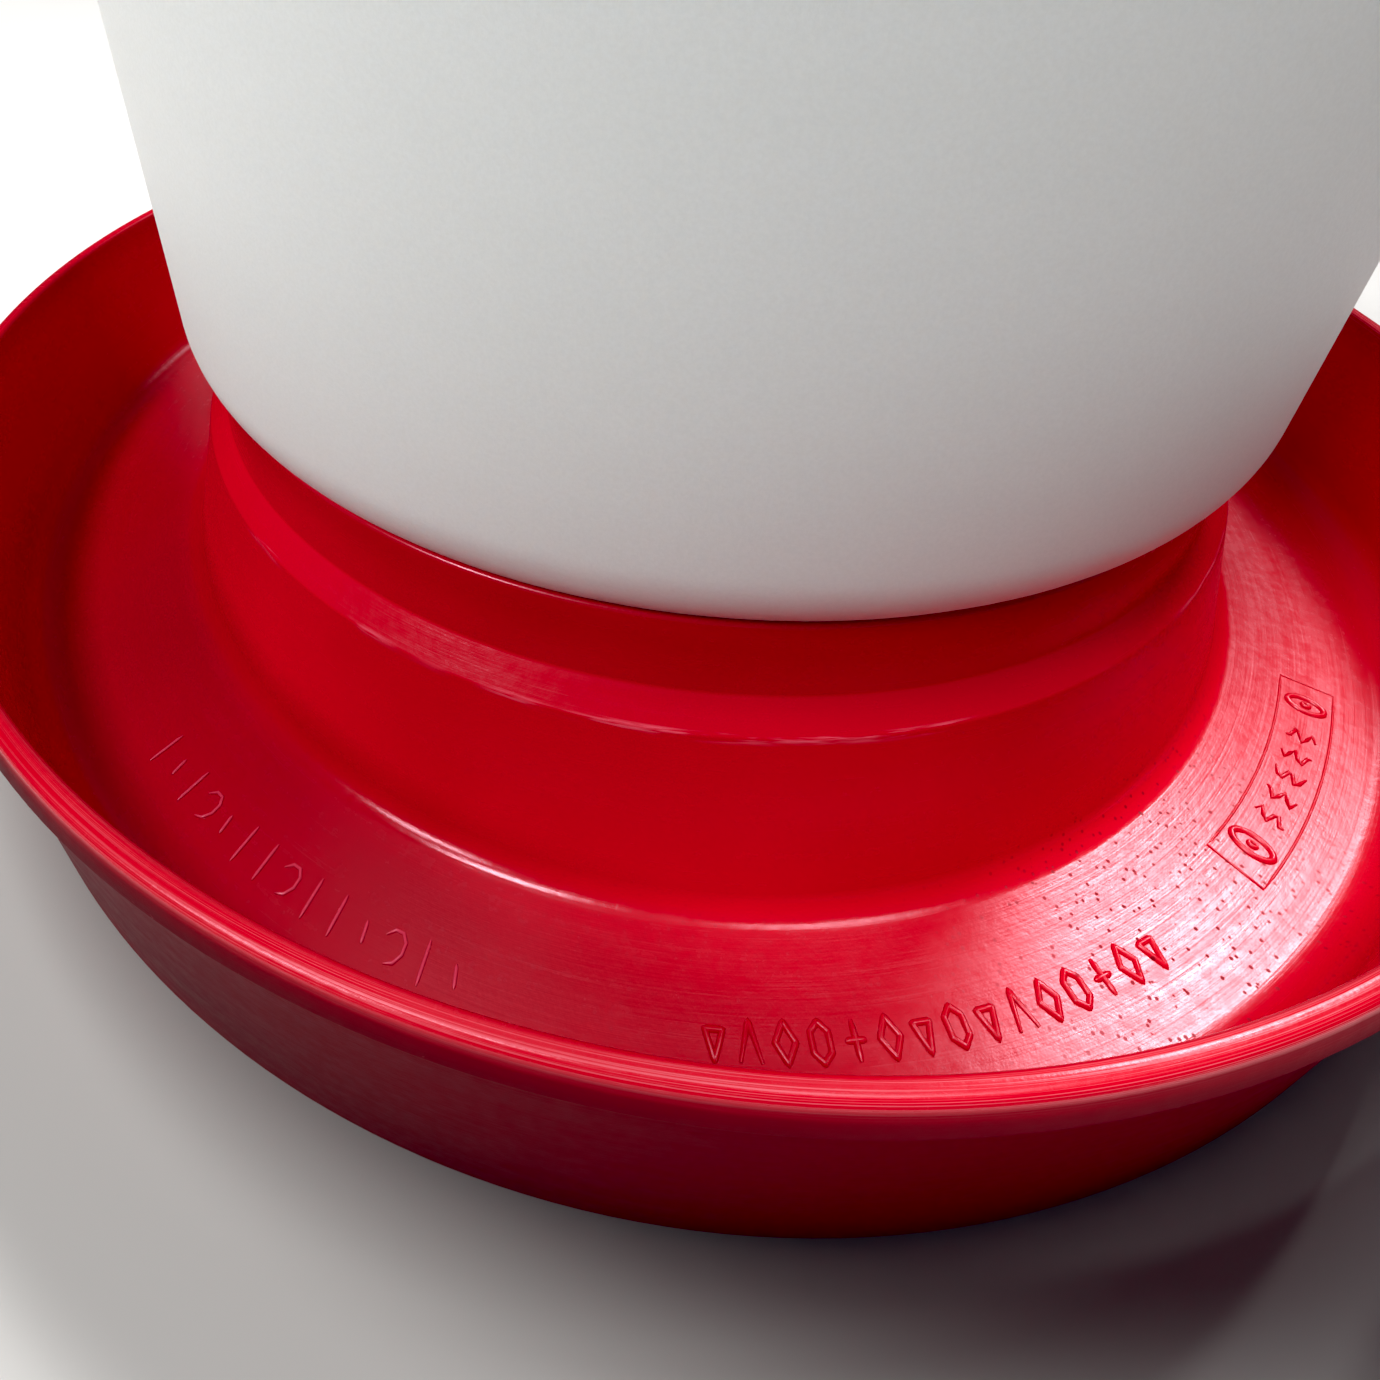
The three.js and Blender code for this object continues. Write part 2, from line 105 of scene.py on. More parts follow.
# %% [markdown]
# Satin plastic is drawn by what it reflects. A small panel behind and to the right puts the
# broad sheen on the trough floor. The main light of the tank hangs in front and to the left,
# and it draws the thin bright lines along the fillets. Two weaker panels hang almost straight
# above: they fill the trough, which the tank would leave dark. A faint pale world fills the
# shadows. Each panel is aimed at the middle of the pan.

# %% Hang the lights
AIM = Vector((0, 0, 0.05))
FAR = 3.0                       # metres from the drinker to every panel


def soft_panel(name, azimuth, elevation, size, power, tint):
    """An area light. Azimuth 0 is in front of the object, and 90 is on its right."""
    turn, rise = math.radians(azimuth), math.radians(elevation)
    way = Vector((math.sin(turn) * math.cos(rise), -math.cos(turn) * math.cos(rise), math.sin(rise)))
    light = bpy.data.lights.new(name, "AREA")
    light.shape = "RECTANGLE"
    light.size, light.size_y = size
    light.energy = power
    light.color = tint
    lamp = bpy.data.objects.new(name, light)
    lamp.location = AIM + way * FAR
    lamp.rotation_euler = (-way).to_track_quat("-Z", "Y").to_euler()
    bpy.context.scene.collection.objects.link(lamp)
    return lamp


soft_panel("back_sheen", 139, 50, (0.47, 0.47), 60, (1.0, 0.97, 0.95))
soft_panel("front_key", -46, 44, (0.79, 0.79), 65, (1.0, 0.99, 0.955))
soft_panel("overhead", -50, 72, (0.75, 0.45), 42, (1.0, 0.99, 0.96))
soft_panel("high_right", 92, 74, (0.75, 0.75), 21, (1.0, 0.99, 0.97))

world = bpy.data.worlds.new("studio")
world.use_nodes = True
world.node_tree.nodes["Background"].inputs["Color"].default_value = (0.9, 0.92, 0.95, 1)
world.node_tree.nodes["Background"].inputs["Strength"].default_value = 0.07
bpy.context.scene.world = world
bpy.context.scene.view_settings.view_transform = "Standard"
bpy.context.scene.view_settings.use_curve_mapping = True
bpy.context.scene.view_settings.curve_mapping.black_level = (0.008, 0.008, 0.004)

# %% [markdown]
# ## Writing shaders by hand
#
# A material is a small net of nodes. Building nets in code gets long, so a tiny helper makes a
# node, sets its inputs and links the sockets it is given. Values that are the same all over
# the surface are set on the shader's own socket, which survives an export.

# %% A helper for node nets


class Net:
    """Builds one material's nodes. An input that is a socket is linked, and a number is set."""

    def __init__(self, name, viewport_color):
        self.material = bpy.data.materials.new(name)
        self.material.use_nodes = True
        self.material.diffuse_color = (*viewport_color, 1)
        self.tree = self.material.node_tree
        self.shader = self.tree.nodes["Principled BSDF"]

    def node(self, kind, settings=None, **inputs):
        made = self.tree.nodes.new("ShaderNode" + kind)
        for key, value in (settings or {}).items():
            setattr(made, key, value)
        for key, value in inputs.items():
            self.put(made, key, value)
        return made

    def put(self, made, key, value):
        slot = made.inputs[int(key[1:])] if key[0] == "_" else made.inputs[key.replace("_", " ")]
        if isinstance(value, bpy.types.NodeSocket):
            self.tree.links.new(value, slot)
        else:
            slot.default_value = value

    def finish(self, **inputs):
        for key, value in inputs.items():
            self.put(self.shader, key, value)
        return self.material

    def maths(self, operation, *values):
        fed = {f"_{i}": value for i, value in enumerate(values)}
        return self.node("Math", {"operation": operation}, **fed).outputs[0]

    def noise(self, vector, scale, detail=2.0, roughness=0.5):
        made = self.node("TexNoise", Vector=vector, Scale=scale, Detail=detail, Roughness=roughness)
        return made.outputs["Fac"]

    def remap(self, value, low, high, to_low, to_high):
        made = self.node("MapRange", _0=value, _1=low, _2=high, _3=to_low, _4=to_high)
        return made.outputs[0]

    def mix(self, share, first, second):
        made = self.node("Mix", {"data_type": "RGBA"}, _0=share, _6=first, _7=second)
        return made.outputs[2]

    def all_of(self, first, *others):
        """A mask that is one only where every given mask is one."""
        for other in others:
            first = self.maths("MULTIPLY", first, other)
        return first

    def band(self, value, low, high, soft):
        """A mask: one from low to high, in millimetres, with soft edges outside them."""
        rise = self.remap(value, (low - soft) * MM, low * MM, 0, 1)
        fall = self.remap(value, high * MM, (high + soft) * MM, 1, 0)
        return self.maths("MULTIPLY", rise, fall)

    def place(self):
        """The point on the piece, in metres, in the object's own frame."""
        return self.node("TexCoord").outputs["Object"]

    def bump(self, height, depth, under=None):
        fed = {"Height": height, "Strength": 1.0, "Distance": depth}
        if under is not None:
            fed["Normal"] = under
        return self.node("Bump", **fed).outputs[0]

    def round_coordinates(self):
        """Radius, angle and height round the main axis, for marks that run in circles."""
        parts = self.node("SeparateXYZ", Vector=self.place())
        x, y, z = parts.outputs
        squares = self.maths("ADD", self.maths("MULTIPLY", x, x), self.maths("MULTIPLY", y, y))
        return self.maths("SQRT", squares), self.maths("ARCTAN2", y, x), z

    def streaks(self, across, along, height):
        """Noise that is fine across the radius and long round the axis, like turning marks."""
        radius, angle, z = self.round_coordinates()
        stretched = self.node(
            "CombineXYZ",
            X=self.maths("MULTIPLY", radius, across),
            Y=self.maths("MULTIPLY", self.maths("ABSOLUTE", angle), along),
            Z=self.maths("MULTIPLY", z, height),
        )
        return self.noise(stretched.outputs[0], 1.0, 3.0, 0.6)


# %% [markdown]
# ## Sizes that a finish needs
#
# Wear sits in certain places: on the lip, on the ledge's edge, on the trough floor. So the
# pan's main sizes are named here, before its plastic is mixed. They are millimetres, and
# heights start at the ground.

# %% Name the pan's main sizes
PAN_TOP = 54.0
FLOOR = 4.0
LIP = pan_high.x / MM                                  # the lip's outer radius
LIP_HEIGHT = 6.0
LEDGE = (135.0, PAN_TOP - 13.8)                        # the ledge's outer edge: radius, height
HUB_FOOT = 144.4
TROUGH_SIDE = LIP - 7.0                                # where the floor meets the outer wall
ROW = 164.6                                            # middle of the rows of floor marks


def floor_point(radius, azimuth):
    """A point of the trough floor. Azimuth 0 is the front, and positive turns to the right."""
    turn = math.radians(azimuth)
    return Vector((radius * math.sin(turn), -radius * math.cos(turn)))


print("trough is", round(TROUGH_SIDE - HUB_FOOT, 1), "mm wide at its floor")

# %% [markdown]
# ## Red moulded polyethylene
#
# The pan's plastic is coloured right through, with a satin skin. What makes it look real is
# the wear: hair-fine marks that run round the trough where it was wiped, a lip that has been
# dragged and is scuffed paler, tiny dark specks of grit on the floor, and a gloss that isn't
# quite even. Each is a noise at its own scale that moves the colour, the roughness and the
# height a little.

# %% Wear on the lip, and painted shade on the outside
SCUFFED = (0.90, 0.30, 0.36, 1)
NICKED = (0.62, 0.16, 0.18, 1)
# A pale pink for a painted highlight along the ledge's outer edge.
LEDGE_PAINTED_HIGHLIGHT = (0.95, 0.22, 0.32, 1)
# Painted shade: a dark red that the pan's outside wall and the lip's outer face are mixed towards, standing
# in for the shade they lie in.
OUTSIDE_PAINTED_SHADE = (0.09, 0.0001, 0.0030, 1)


def lip_wear_and_painted_shade(net, colour, roughness):
    """Scuffs the lip's top, nicks its lower edge, paints shade on the pan's outside and dulls it."""
    radius, _, height = net.round_coordinates()
    side, _, _ = net.node("SeparateXYZ", Vector=net.place()).outputs
    lip_band = net.band(radius, LIP - 4.5, LIP + 1, 2.0)
    drag = net.remap(net.streaks(9000.0, 2.2, 9000.0), 0.52, 0.60, 0, 1)
    scuff = net.all_of(
        drag,
        lip_band,
        net.band(height, PAN_TOP - 1.6, PAN_TOP + 1, 1.0),
        net.remap(net.noise(net.place(), 14.0, 3.0), 0.35, 0.6, 0.5, 1),
        net.remap(side, -0.13, -0.02, 0.1, 1),
    )
    colour = net.mix(net.maths("MULTIPLY", scuff, 0.24), colour, SCUFFED)
    roughness = net.maths("ADD", roughness, net.maths("MULTIPLY", scuff, 0.14))

    outside = net.all_of(
        net.band(radius, LIP - 3.6, LIP + 1, 1.4),
        net.band(height, -1, PAN_TOP - 1.6, 1.0),
    )
    # Painted shade: the outside is darkened about two thirds of the way to the dark red, all round the pan.
    colour = net.mix(net.maths("MULTIPLY", outside, 0.68), colour, OUTSIDE_PAINTED_SHADE)
    nick = net.maths("GREATER_THAN", net.noise(net.place(), 900.0, 2.0), 0.71)
    low_edge = PAN_TOP - LIP_HEIGHT
    nick = net.all_of(nick, lip_band, net.band(height, low_edge - 0.5, low_edge - 0.2, 1.6))
    colour = net.mix(nick, colour, NICKED)
    roughness = net.maths("ADD", roughness, net.maths("MULTIPLY", outside, 0.16))
    gloss = net.maths("MULTIPLY", net.remap(lip_band, 0, 1, 0.5, 0.36), net.remap(outside, 0, 1, 1, 0.07))
    return colour, roughness, gloss


print("the lip's scuffs lie above", PAN_TOP - 2.6, "mm")

# %% [markdown]
# A thin, broken, paler line is painted along the ledge's outer edge: it is a painted highlight.
# Below it, the trough floor collects grit: a grid of cells gives
# one round speck each, and only some of the cells, near one spot, keep theirs. The crests of
# the fine marks at the left are painted paler, as a painted glint.

# %% A painted highlight on the ledge, grit on the trough floor and painted glints on the marks
# A pale pink for a painted glint on the crests of the marks at the left.
MARK_CREST_PAINTED_GLINT = (0.90, 0.10, 0.20, 1)
GRIT = (0.10, 0.002, 0.004, 1)
GRIT_MIDDLE = floor_point(155.0, 37.0)


def painted_ledge_highlight(net, colour):
    """A thin, broken, paler line painted along the ledge's edge, as a painted highlight."""
    radius, _, height = net.round_coordinates()
    edge = net.all_of(
        net.band(radius, LEDGE[0] - 0.2, LEDGE[0], 0.4),
        net.band(height, LEDGE[1] - 0.7, PAN_TOP, 1.0),
    )
    broken = net.remap(net.streaks(1500.0, 9.0, 900.0), 0.47, 0.60, 0, 1)
    patchy = net.remap(net.noise(net.place(), 22.0, 2.0), 0.46, 0.56, 0, 1)
    # Painted highlight: the broken line on the ledge's edge is mixed towards pale pink.
    share = net.maths("MULTIPLY", net.all_of(edge, broken, patchy), 0.45)
    return net.mix(share, colour, LEDGE_PAINTED_HIGHLIGHT)


def gritty_floor_and_painted_glints(net, colour, roughness, gloss):
    """Dark specks on the trough floor, thickest right of the front, and a painted glint on the crests of the
    marks at the left.
    """
    place = net.place()
    radius, _, height = net.round_coordinates()
    cells = net.node("TexVoronoi", {"feature": "F1"}, Vector=place, Scale=720.0)
    dot = net.remap(cells.outputs["Distance"], 0.20, 0.28, 1, 0)
    lot = net.node("SeparateColor", Color=cells.outputs["Color"]).outputs[0]
    chosen = net.maths("GREATER_THAN", lot, 0.50)
    thickest = (*(GRIT_MIDDLE * MM), FLOOR * MM)
    away = net.node("VectorMath", {"operation": "DISTANCE"}, _0=place, _1=thickest).outputs["Value"]
    spread = net.all_of(
        net.remap(away, 0.012, 0.052, 1, 0.08),
        net.remap(net.noise(place, 14.0, 3.0), 0.3, 0.55, 0.4, 1),
        net.band(height, -1, FLOOR + 2, 6.0),
        net.band(radius, 0, TROUGH_SIDE, 2.0),
    )
    grit = net.maths("MULTIPLY", net.all_of(dot, chosen, spread), 0.85)

    side, _, _ = net.node("SeparateXYZ", Vector=place).outputs
    crest = net.all_of(
        net.band(height, FLOOR + 0.3, FLOOR + 0.8, 0.15),
        net.band(radius, ROW - 5, ROW + 5, 0.5),
        net.maths("LESS_THAN", side, 0.0),
    )
    # Painted glint: the crests of the marks at the left are mixed towards pale pink.
    colour = net.mix(net.maths("MULTIPLY", crest, 0.55), colour, MARK_CREST_PAINTED_GLINT)
    colour = net.mix(grit, colour, GRIT)
    roughness = net.maths("ADD", roughness, net.maths("MULTIPLY", grit, 0.35))
    return colour, roughness, net.maths("MULTIPLY", gloss, net.remap(grit, 0, 1, 1, 0.02))


print("grit lies inside a radius of", round(TROUGH_SIDE, 1), "mm")

# %% [markdown]
# Now the plastic itself. Two reds close together make slow clouds, turning marks run round the
# axis, and three bumps lie over each other: a grain, a mottle and the turning marks. The hub's
# fillet is wiped so often that it is the smoothest place of all. The cap has no such wear.

# %% Mix the red plastic
RED_DEEP = (0.44, 0.0003, 0.0098, 1)
RED_BRIGHT = (0.53, 0.0005, 0.0134, 1)


def red_plastic(name, wear_and_painted_light):
    """Satin red plastic, with the pan's wear, painted shade and painted highlights if they are asked for."""
    net = Net(name, (0.6, 0.01, 0.02))
    place = net.place()
    cloud = net.noise(place, 14.0, 3.0)
    mottle = net.noise(place, 420.0, 3.0, 0.6)
    turning = net.streaks(2600.0, 5.0, 2600.0)
    colour = net.mix(net.remap(cloud, 0.3, 0.7, 0, 1), RED_DEEP, RED_BRIGHT)
    roughness = net.remap(net.streaks(420.0, 2.0, 300.0), 0.3, 0.7, 0.19, 0.27)
    scratched = net.maths("MULTIPLY", net.remap(turning, 0.62, 0.74, 0, 1), 0.08)
    roughness = net.maths("ADD", roughness, scratched)
    roughness = net.maths("ADD", roughness, net.remap(mottle, 0.35, 0.65, -0.02, 0.04))
    gloss = 0.5
    # The pan's wear, plus painted shade on its outside and painted highlights on the ledge and the marks.
    if wear_and_painted_light:
        radius, _, height = net.round_coordinates()
        wiped = net.all_of(
            net.band(radius, HUB_FOOT - 1.5, HUB_FOOT + 3, 1.0),
            net.band(height, FLOOR, FLOOR + 2.5, 0.6),
        )
        roughness = net.maths("SUBTRACT", roughness, net.maths("MULTIPLY", wiped, 0.07))
        colour, roughness, gloss = lip_wear_and_painted_shade(net, colour, roughness)
        colour = painted_ledge_highlight(net, colour)
        colour, roughness, gloss = gritty_floor_and_painted_glints(net, colour, roughness, gloss)
    skin = net.bump(net.noise(place, 2200.0, 2.0), 0.000010)
    uneven = net.bump(mottle, 0.000035, skin)
    return net.finish(
        Base_Color=colour,
        Roughness=roughness,
        Normal=net.bump(turning, 0.000022, uneven),
        IOR=1.5,
        Specular_IOR_Level=gloss,
        Specular_Tint=(1.0, 0.66, 0.80, 1),
    )


pan_red = red_plastic("pan_red", wear_and_painted_light=True)
cap_red = red_plastic("cap_red", wear_and_painted_light=False)
print("red plastics:", pan_red.name, cap_red.name)

# %% [markdown]
# ## Natural polyethylene
#
# The tank has no pigment. Light goes into it, wanders and comes out nearby, so it looks milky
# and never shiny, with soft shading and no hard shadow edge. Subsurface scattering does this.
# The skin has the fine sand texture of a blasted mould, and the wall's thickness drifts,
# which shows as faint clouds of tone.

# %% Mix the milky plastic


def milky_plastic(name):
    """Unpigmented plastic: light wanders under the skin, and the skin is finely grained."""
    net = Net(name, (0.7, 0.7, 0.66))
    place = net.place()
    wall = net.noise(place, 9.0, 2.0)
    band = net.streaks(40.0, 1.2, 26.0)
    sand = net.noise(place, 1500.0, 3.0, 0.7)
    tone = net.maths("MULTIPLY", net.maths("ADD", wall, band), 0.5)
    colour = net.mix(net.remap(tone, 0.35, 0.65, 0, 1), (0.80, 0.81, 0.77, 1), (0.86, 0.87, 0.83, 1))
    grain = net.remap(sand, 0.35, 0.65, 0, 1)
    colour = net.mix(net.maths("MULTIPLY", grain, 0.10), colour, (0.52, 0.52, 0.48, 1))
    roughness = net.remap(sand, 0.3, 0.7, 0.46, 0.60)
    return net.finish(
        Base_Color=colour,
        Roughness=roughness,
        Normal=net.bump(sand, 0.00005),
        IOR=1.5,
        Specular_IOR_Level=0.35,
        Subsurface_Weight=1.0,
        Subsurface_Radius=(0.010, 0.009, 0.008),
        Subsurface_Scale=1.0,
    )


tank_milk = milky_plastic("tank_milk")
print("milky plastic:", tank_milk.name)

# %% [markdown]
# ## The small finishes
#
# Rubber is black and dull, with a bloom of paler dust. The wire is zinc plated: a bright metal
# with drawing lines along it and dull grey patches. The grip is black plastic with a leathery
# mould texture.

# %% Mix rubber, wire and grip


def rubber(name):
    """Dull black rubber with a pale bloom."""
    net = Net(name, (0.03, 0.03, 0.03))
    place = net.place()
    bloom = net.remap(net.noise(place, 60.0, 4.0, 0.6), 0.45, 0.75, 0, 1)
    grain = net.noise(place, 1800.0, 3.0, 0.6)
    colour = net.mix(bloom, (0.018, 0.018, 0.019, 1), (0.060, 0.058, 0.054, 1))
    return net.finish(
        Base_Color=colour,
        Roughness=net.remap(grain, 0.3, 0.7, 0.62, 0.82),
        Normal=net.bump(grain, 0.00005),
    )


def zinc_wire(name):
    """Bright plated wire with lines along it and dull patches."""
    net = Net(name, (0.6, 0.6, 0.62))
    place = net.place()
    drawn = net.noise(net.node("Mapping", Vector=place, Scale=(60.0, 1800.0, 1800.0)).outputs[0], 1.0, 3.0)
    patch = net.remap(net.noise(place, 55.0, 4.0, 0.65), 0.42, 0.66, 0, 1)
    colour = net.mix(patch, (0.62, 0.63, 0.65, 1), (0.40, 0.41, 0.42, 1))
    roughness = net.maths("ADD", net.remap(drawn, 0.3, 0.7, 0.24, 0.36), net.maths("MULTIPLY", patch, 0.18))
    return net.finish(Base_Color=colour, Metallic=1.0, Roughness=roughness, Normal=net.bump(drawn, 0.00003))


def black_plastic(name):
    """Black plastic with a leathery grain, polished in places by hands."""
    net = Net(name, (0.03, 0.03, 0.03))
    place = net.place()
    leather = net.node("TexVoronoi", {"feature": "SMOOTH_F1"}, Vector=place, Scale=900.0).outputs["Distance"]
    rub = net.remap(net.noise(place, 35.0, 3.0), 0.45, 0.7, 0, 1)
    colour = net.mix(rub, (0.016, 0.016, 0.018, 1), (0.034, 0.034, 0.036, 1))
    roughness = net.maths("SUBTRACT", 0.52, net.maths("MULTIPLY", rub, 0.12))
    return net.finish(Base_Color=colour, Roughness=roughness, Normal=net.bump(leather, 0.00008))


seal_rubber = rubber("seal_rubber")
wire_steel = zinc_wire("wire_steel")
grip_black = black_plastic("grip_black")
print("small finishes:", seal_rubber.name, wire_steel.name, grip_black.name)

# %% [markdown]
# ## Turning an outline round an axis
#
# Nearly every piece is round, so the main tool turns an outline of (radius, height) corners
# round Z, as a lathe does. Each corner carries its own rounding radius, and a small function
# swaps the corner for an arc. That gives every edge the soft highlight that a moulded edge
# has, which a sharp corner never catches.

# %% Arcs and rounded corners
TAU = 2 * math.pi


def arc(centre, radius, start, end, steps=12):
    """Points of an arc as corners with no rounding of their own. Angles in degrees."""
    points = []
    for i in range(steps + 1):
        angle = math.radians(start + (end - start) * i / steps)
        points.append((centre[0] + radius * math.cos(angle), centre[1] + radius * math.sin(angle), 0))
    return points


def rounded(corners, closed=False, steps=6):
    """Swaps each corner (radius, height, rounding) for an arc that touches both its sides."""
    count = len(corners)
    points = []
    for i, (r, z, rounding) in enumerate(corners):
        here = Vector((r, z))
        if rounding <= 0 or (not closed and i in (0, count - 1)):
            points.append(here)
            continue
        before = (Vector(corners[i - 1][:2]) - here)
        after = (Vector(corners[(i + 1) % count][:2]) - here)
        half = before.angle(after) / 2
        reach = min(rounding / math.tan(half), 0.49 * before.length, 0.49 * after.length)
        radius = reach * math.tan(half)
        centre = here + (before.normalized() + after.normalized()).normalized() * (radius / math.sin(half))
        first = here + before.normalized() * reach - centre
        last = here + after.normalized() * reach - centre
        sweep = first.angle_signed(last)
        for k in range(steps + 1):
            turn = -sweep * k / steps
            c, s = math.cos(turn), math.sin(turn)
            points.append(centre + Vector((c * first.x - s * first.y, s * first.x + c * first.y)))
    return [(point.x, point.y) for point in points]


square = [(0, 0, 1), (9, 0, 1), (9, 9, 1), (0, 9, 1)]
print("a rounded square has", len(rounded(square, closed=True)), "points")

# %% [markdown]
# A mesh is a list of points and a list of faces. All faces are shaded smooth, and then the
# edges that turn by more than a limit are marked sharp, so that a flat face stays flat.

# %% Build a smooth solid


def solid(name, vertices, faces, material, sharp_angle=38):
    """A mesh object from points in millimetres, smooth but for its real edges."""
    mesh = bpy.data.meshes.new(name)
    mesh.from_pydata([Vector(v) * MM for v in vertices], [], faces)
    mesh.validate()
    piece = bpy.data.objects.new(name, mesh)
    bpy.context.scene.collection.objects.link(piece)
    mesh.materials.append(material)
    smooth(piece, sharp_angle)
    return piece


def smooth(piece, sharp_angle=38):
    """Shades a piece smooth, but for edges that turn by more than the angle."""
    piece.data.polygons.foreach_set("use_smooth", [True] * len(piece.data.polygons))
    piece.data.set_sharp_from_angle(angle=math.radians(sharp_angle))


print("a solid's sharp edges turn by more than 38 degrees, unless it says otherwise")

# %% [markdown]
# A turned piece repeats its outline at even steps round the axis. A point on the axis is kept
# only once, so the middle of a disc is a fan of triangles and has no doubled points.

# %% Turn an outline


def turned(name, outline, material, steps=256, closed=False, shape=None, sharp_angle=38):
    """Turns an outline (millimetres) round Z. shape(r, z, angles) may vary the radius."""
    angles = np.arange(steps) * TAU / steps
    vertices, rings = [], []
    for r, z in outline:
        if r < 1e-6:
            rings.append([len(vertices)] * steps)
            vertices.append((0, 0, z))
            continue
        radii = shape(r, z, angles) if shape else np.full(steps, r)
        rings.append(list(range(len(vertices), len(vertices) + steps)))
        vertices.extend(zip(radii * np.cos(angles), radii * np.sin(angles), np.full(steps, z)))
    faces = []
    pairs = list(zip(rings, rings[1:])) + ([(rings[-1], rings[0])] if closed else [])
    for lower, upper in pairs:
        for j in range(steps):
            k = (j + 1) % steps
            corners = [lower[j], lower[k], upper[k], upper[j]]
            face = [v for n, v in enumerate(corners) if v not in corners[:n]]
            if len(face) > 2:
                faces.append(face)
    return solid(name, vertices, faces, material, sharp_angle)


print("a full turn is", round(TAU, 4), "radians")

# %% [markdown]
# Bosses, lugs and ears are closed solids of their own until the exact boolean joins them to
# the moulding. Each finished piece is then tied to the body that it moves with.

# %% Join, cut and finish a piece


def combine(piece, tools, operation):
    """Joins closed pieces to a piece, or cuts them out of it, and removes the tools."""
    for tool in tools:
        step = piece.modifiers.new("step", "BOOLEAN")
        step.operation = operation
        step.solver = "EXACT"
        step.object = tool
        graph = bpy.context.evaluated_depsgraph_get()
        result = bpy.data.meshes.new_from_object(piece.evaluated_get(graph))
        piece.modifiers.clear()
        piece.data = result
        bpy.data.objects.remove(tool)
    smooth(piece)
    return piece


def finished(piece, body, slot, *nodes):
    """Rides a piece on its body and hides the plain nodes that it stands for. The slot is not used."""
    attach(piece, body)
    if nodes:
        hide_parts(*nodes)
    print(f"{piece.name}: {len(piece.data.polygons)} faces, rides on {body}")
    return piece


moving = [joint["child"] for joint in frame["record"]["behaviour"]["joints"]]
print("bodies that move:", moving)

# %% [markdown]
# ## The pan
#
# One moulding: a skirt, an outward lip, the trough, the hub with its sloping ledge, and the
# collar that takes the tank. The outline runs once round the wall's section, up the outside
# and back down the inside. The trough has big fillets, because a pan has to be wiped clean,
# and they are what catches the long bright lines.

# %% Turn the pan
WALL = 3.0
TANK = 134.5
TANK_FLOOR = PAN_TOP + 2.0
CORNER = 20.0
COLLAR_FOOT = (130.2, LEDGE[1] + 5.0)
COLLAR_TOP = 129.0
COLLAR_BORE = COLLAR_TOP - WALL
SEAT = PAN_TOP - 12.0
WELL = 112.0
COLLAR_GAP = 0.35                                      # under the tank's rounded corner


def corner_height(radius):
    """Height of the tank's rounded lower corner above a radius."""
    return TANK_FLOOR + CORNER - math.sqrt(CORNER ** 2 - (radius - TANK + CORNER) ** 2)


pan_outline = rounded([
    (0, 1, 0),
    (WELL + WALL, 1, 0.6),
    (WELL + WALL, SEAT - WALL, 1.2),
    (LEDGE[0] - WALL, SEAT - WALL, 1.5),
    (HUB_FOOT - WALL, 0, 0.8),
    (LIP - 3.0, 0, 2.0),
    (LIP - 2.2, PAN_TOP - LIP_HEIGHT, 0.7),
    (LIP, PAN_TOP - LIP_HEIGHT, 0.7),
    (LIP - 1.5, PAN_TOP, 1.3),
    (LIP - 4.5, PAN_TOP, 1.1),
    (TROUGH_SIDE, FLOOR, 8.0),
    (HUB_FOOT, FLOOR, 5.0),
    (*LEDGE, 1.4),
    (*COLLAR_FOOT, 1.2),
    (COLLAR_TOP, corner_height(COLLAR_TOP) - COLLAR_GAP, 0.8),
    (COLLAR_BORE, corner_height(COLLAR_BORE) - COLLAR_GAP, 0.5),
    (COLLAR_BORE, SEAT, 0.8),
    (WELL, SEAT, 0.8),
    (WELL, FLOOR, 2.0),
    (0, FLOOR, 0),
])
pan = turned("pan_moulding", pan_outline, pan_red, steps=288)
print("pan outline has", len(pan_outline), "points")

# %% [markdown]
# The water leaves the well through a short tunnel at the back of the hub. It ends in a flat
# round face, so that the stopper seals. A bar along Y is joined to the pan, then a thinner one
# is cut through it. The four lugs that hold the tank are short helical ridges in the collar.

# %% Bore the outlet and add the lugs
plug_low, plug_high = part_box("outlet_plug")
OUTLET_Z = (plug_low.z + plug_high.z) / 2 / MM
OUTLET_BORE = 5.0
PLUG_REACH = 14.0                                      # the plug's length inside the tunnel
OUTLET_FACE = plug_low.y / MM + PLUG_REACH


def bar(name, outline, matrix, material, steps=64):
    """A turned solid laid along another axis."""
    piece = turned(name, outline, material, steps)
    piece.data.transform(matrix)
    return piece


def along_y(z, y=0.0):
    """Lays a turned piece along +Y at a height, starting at y."""
    return Matrix.Translation((0, y * MM, z * MM)) @ Matrix.Rotation(-math.pi / 2, 4, "X")


def helical_ridge(name, root, crest, height, lead, start, sweep, z, material, taper=0.0, steps=24):
    """A ridge that climbs round Z. Its crest is narrower than its root by the taper."""
    section = ((root, -height), (crest, taper - height), (crest, height - taper), (root, height))
    vertices, faces = [], []
    for i in range(steps + 1):
        share = i / steps
        turned_by = math.radians(sweep) * share
        angle = math.radians(start) + turned_by
        middle = z + lead * turned_by / TAU
        for radius, rise in section:
            vertices.append((radius * math.cos(angle), radius * math.sin(angle), middle + rise / 2))
    for i in range(steps):
        for side in range(4):
            a, b = 4 * i + side, 4 * i + (side + 1) % 4
            faces.append((a, a + 4, b + 4, b))
    last = 4 * steps
    faces += [(0, 1, 2, 3), (last + 3, last + 2, last + 1, last)]
    if crest < root:
        faces = [tuple(reversed(face)) for face in faces]
    return solid(name, vertices, faces, material)


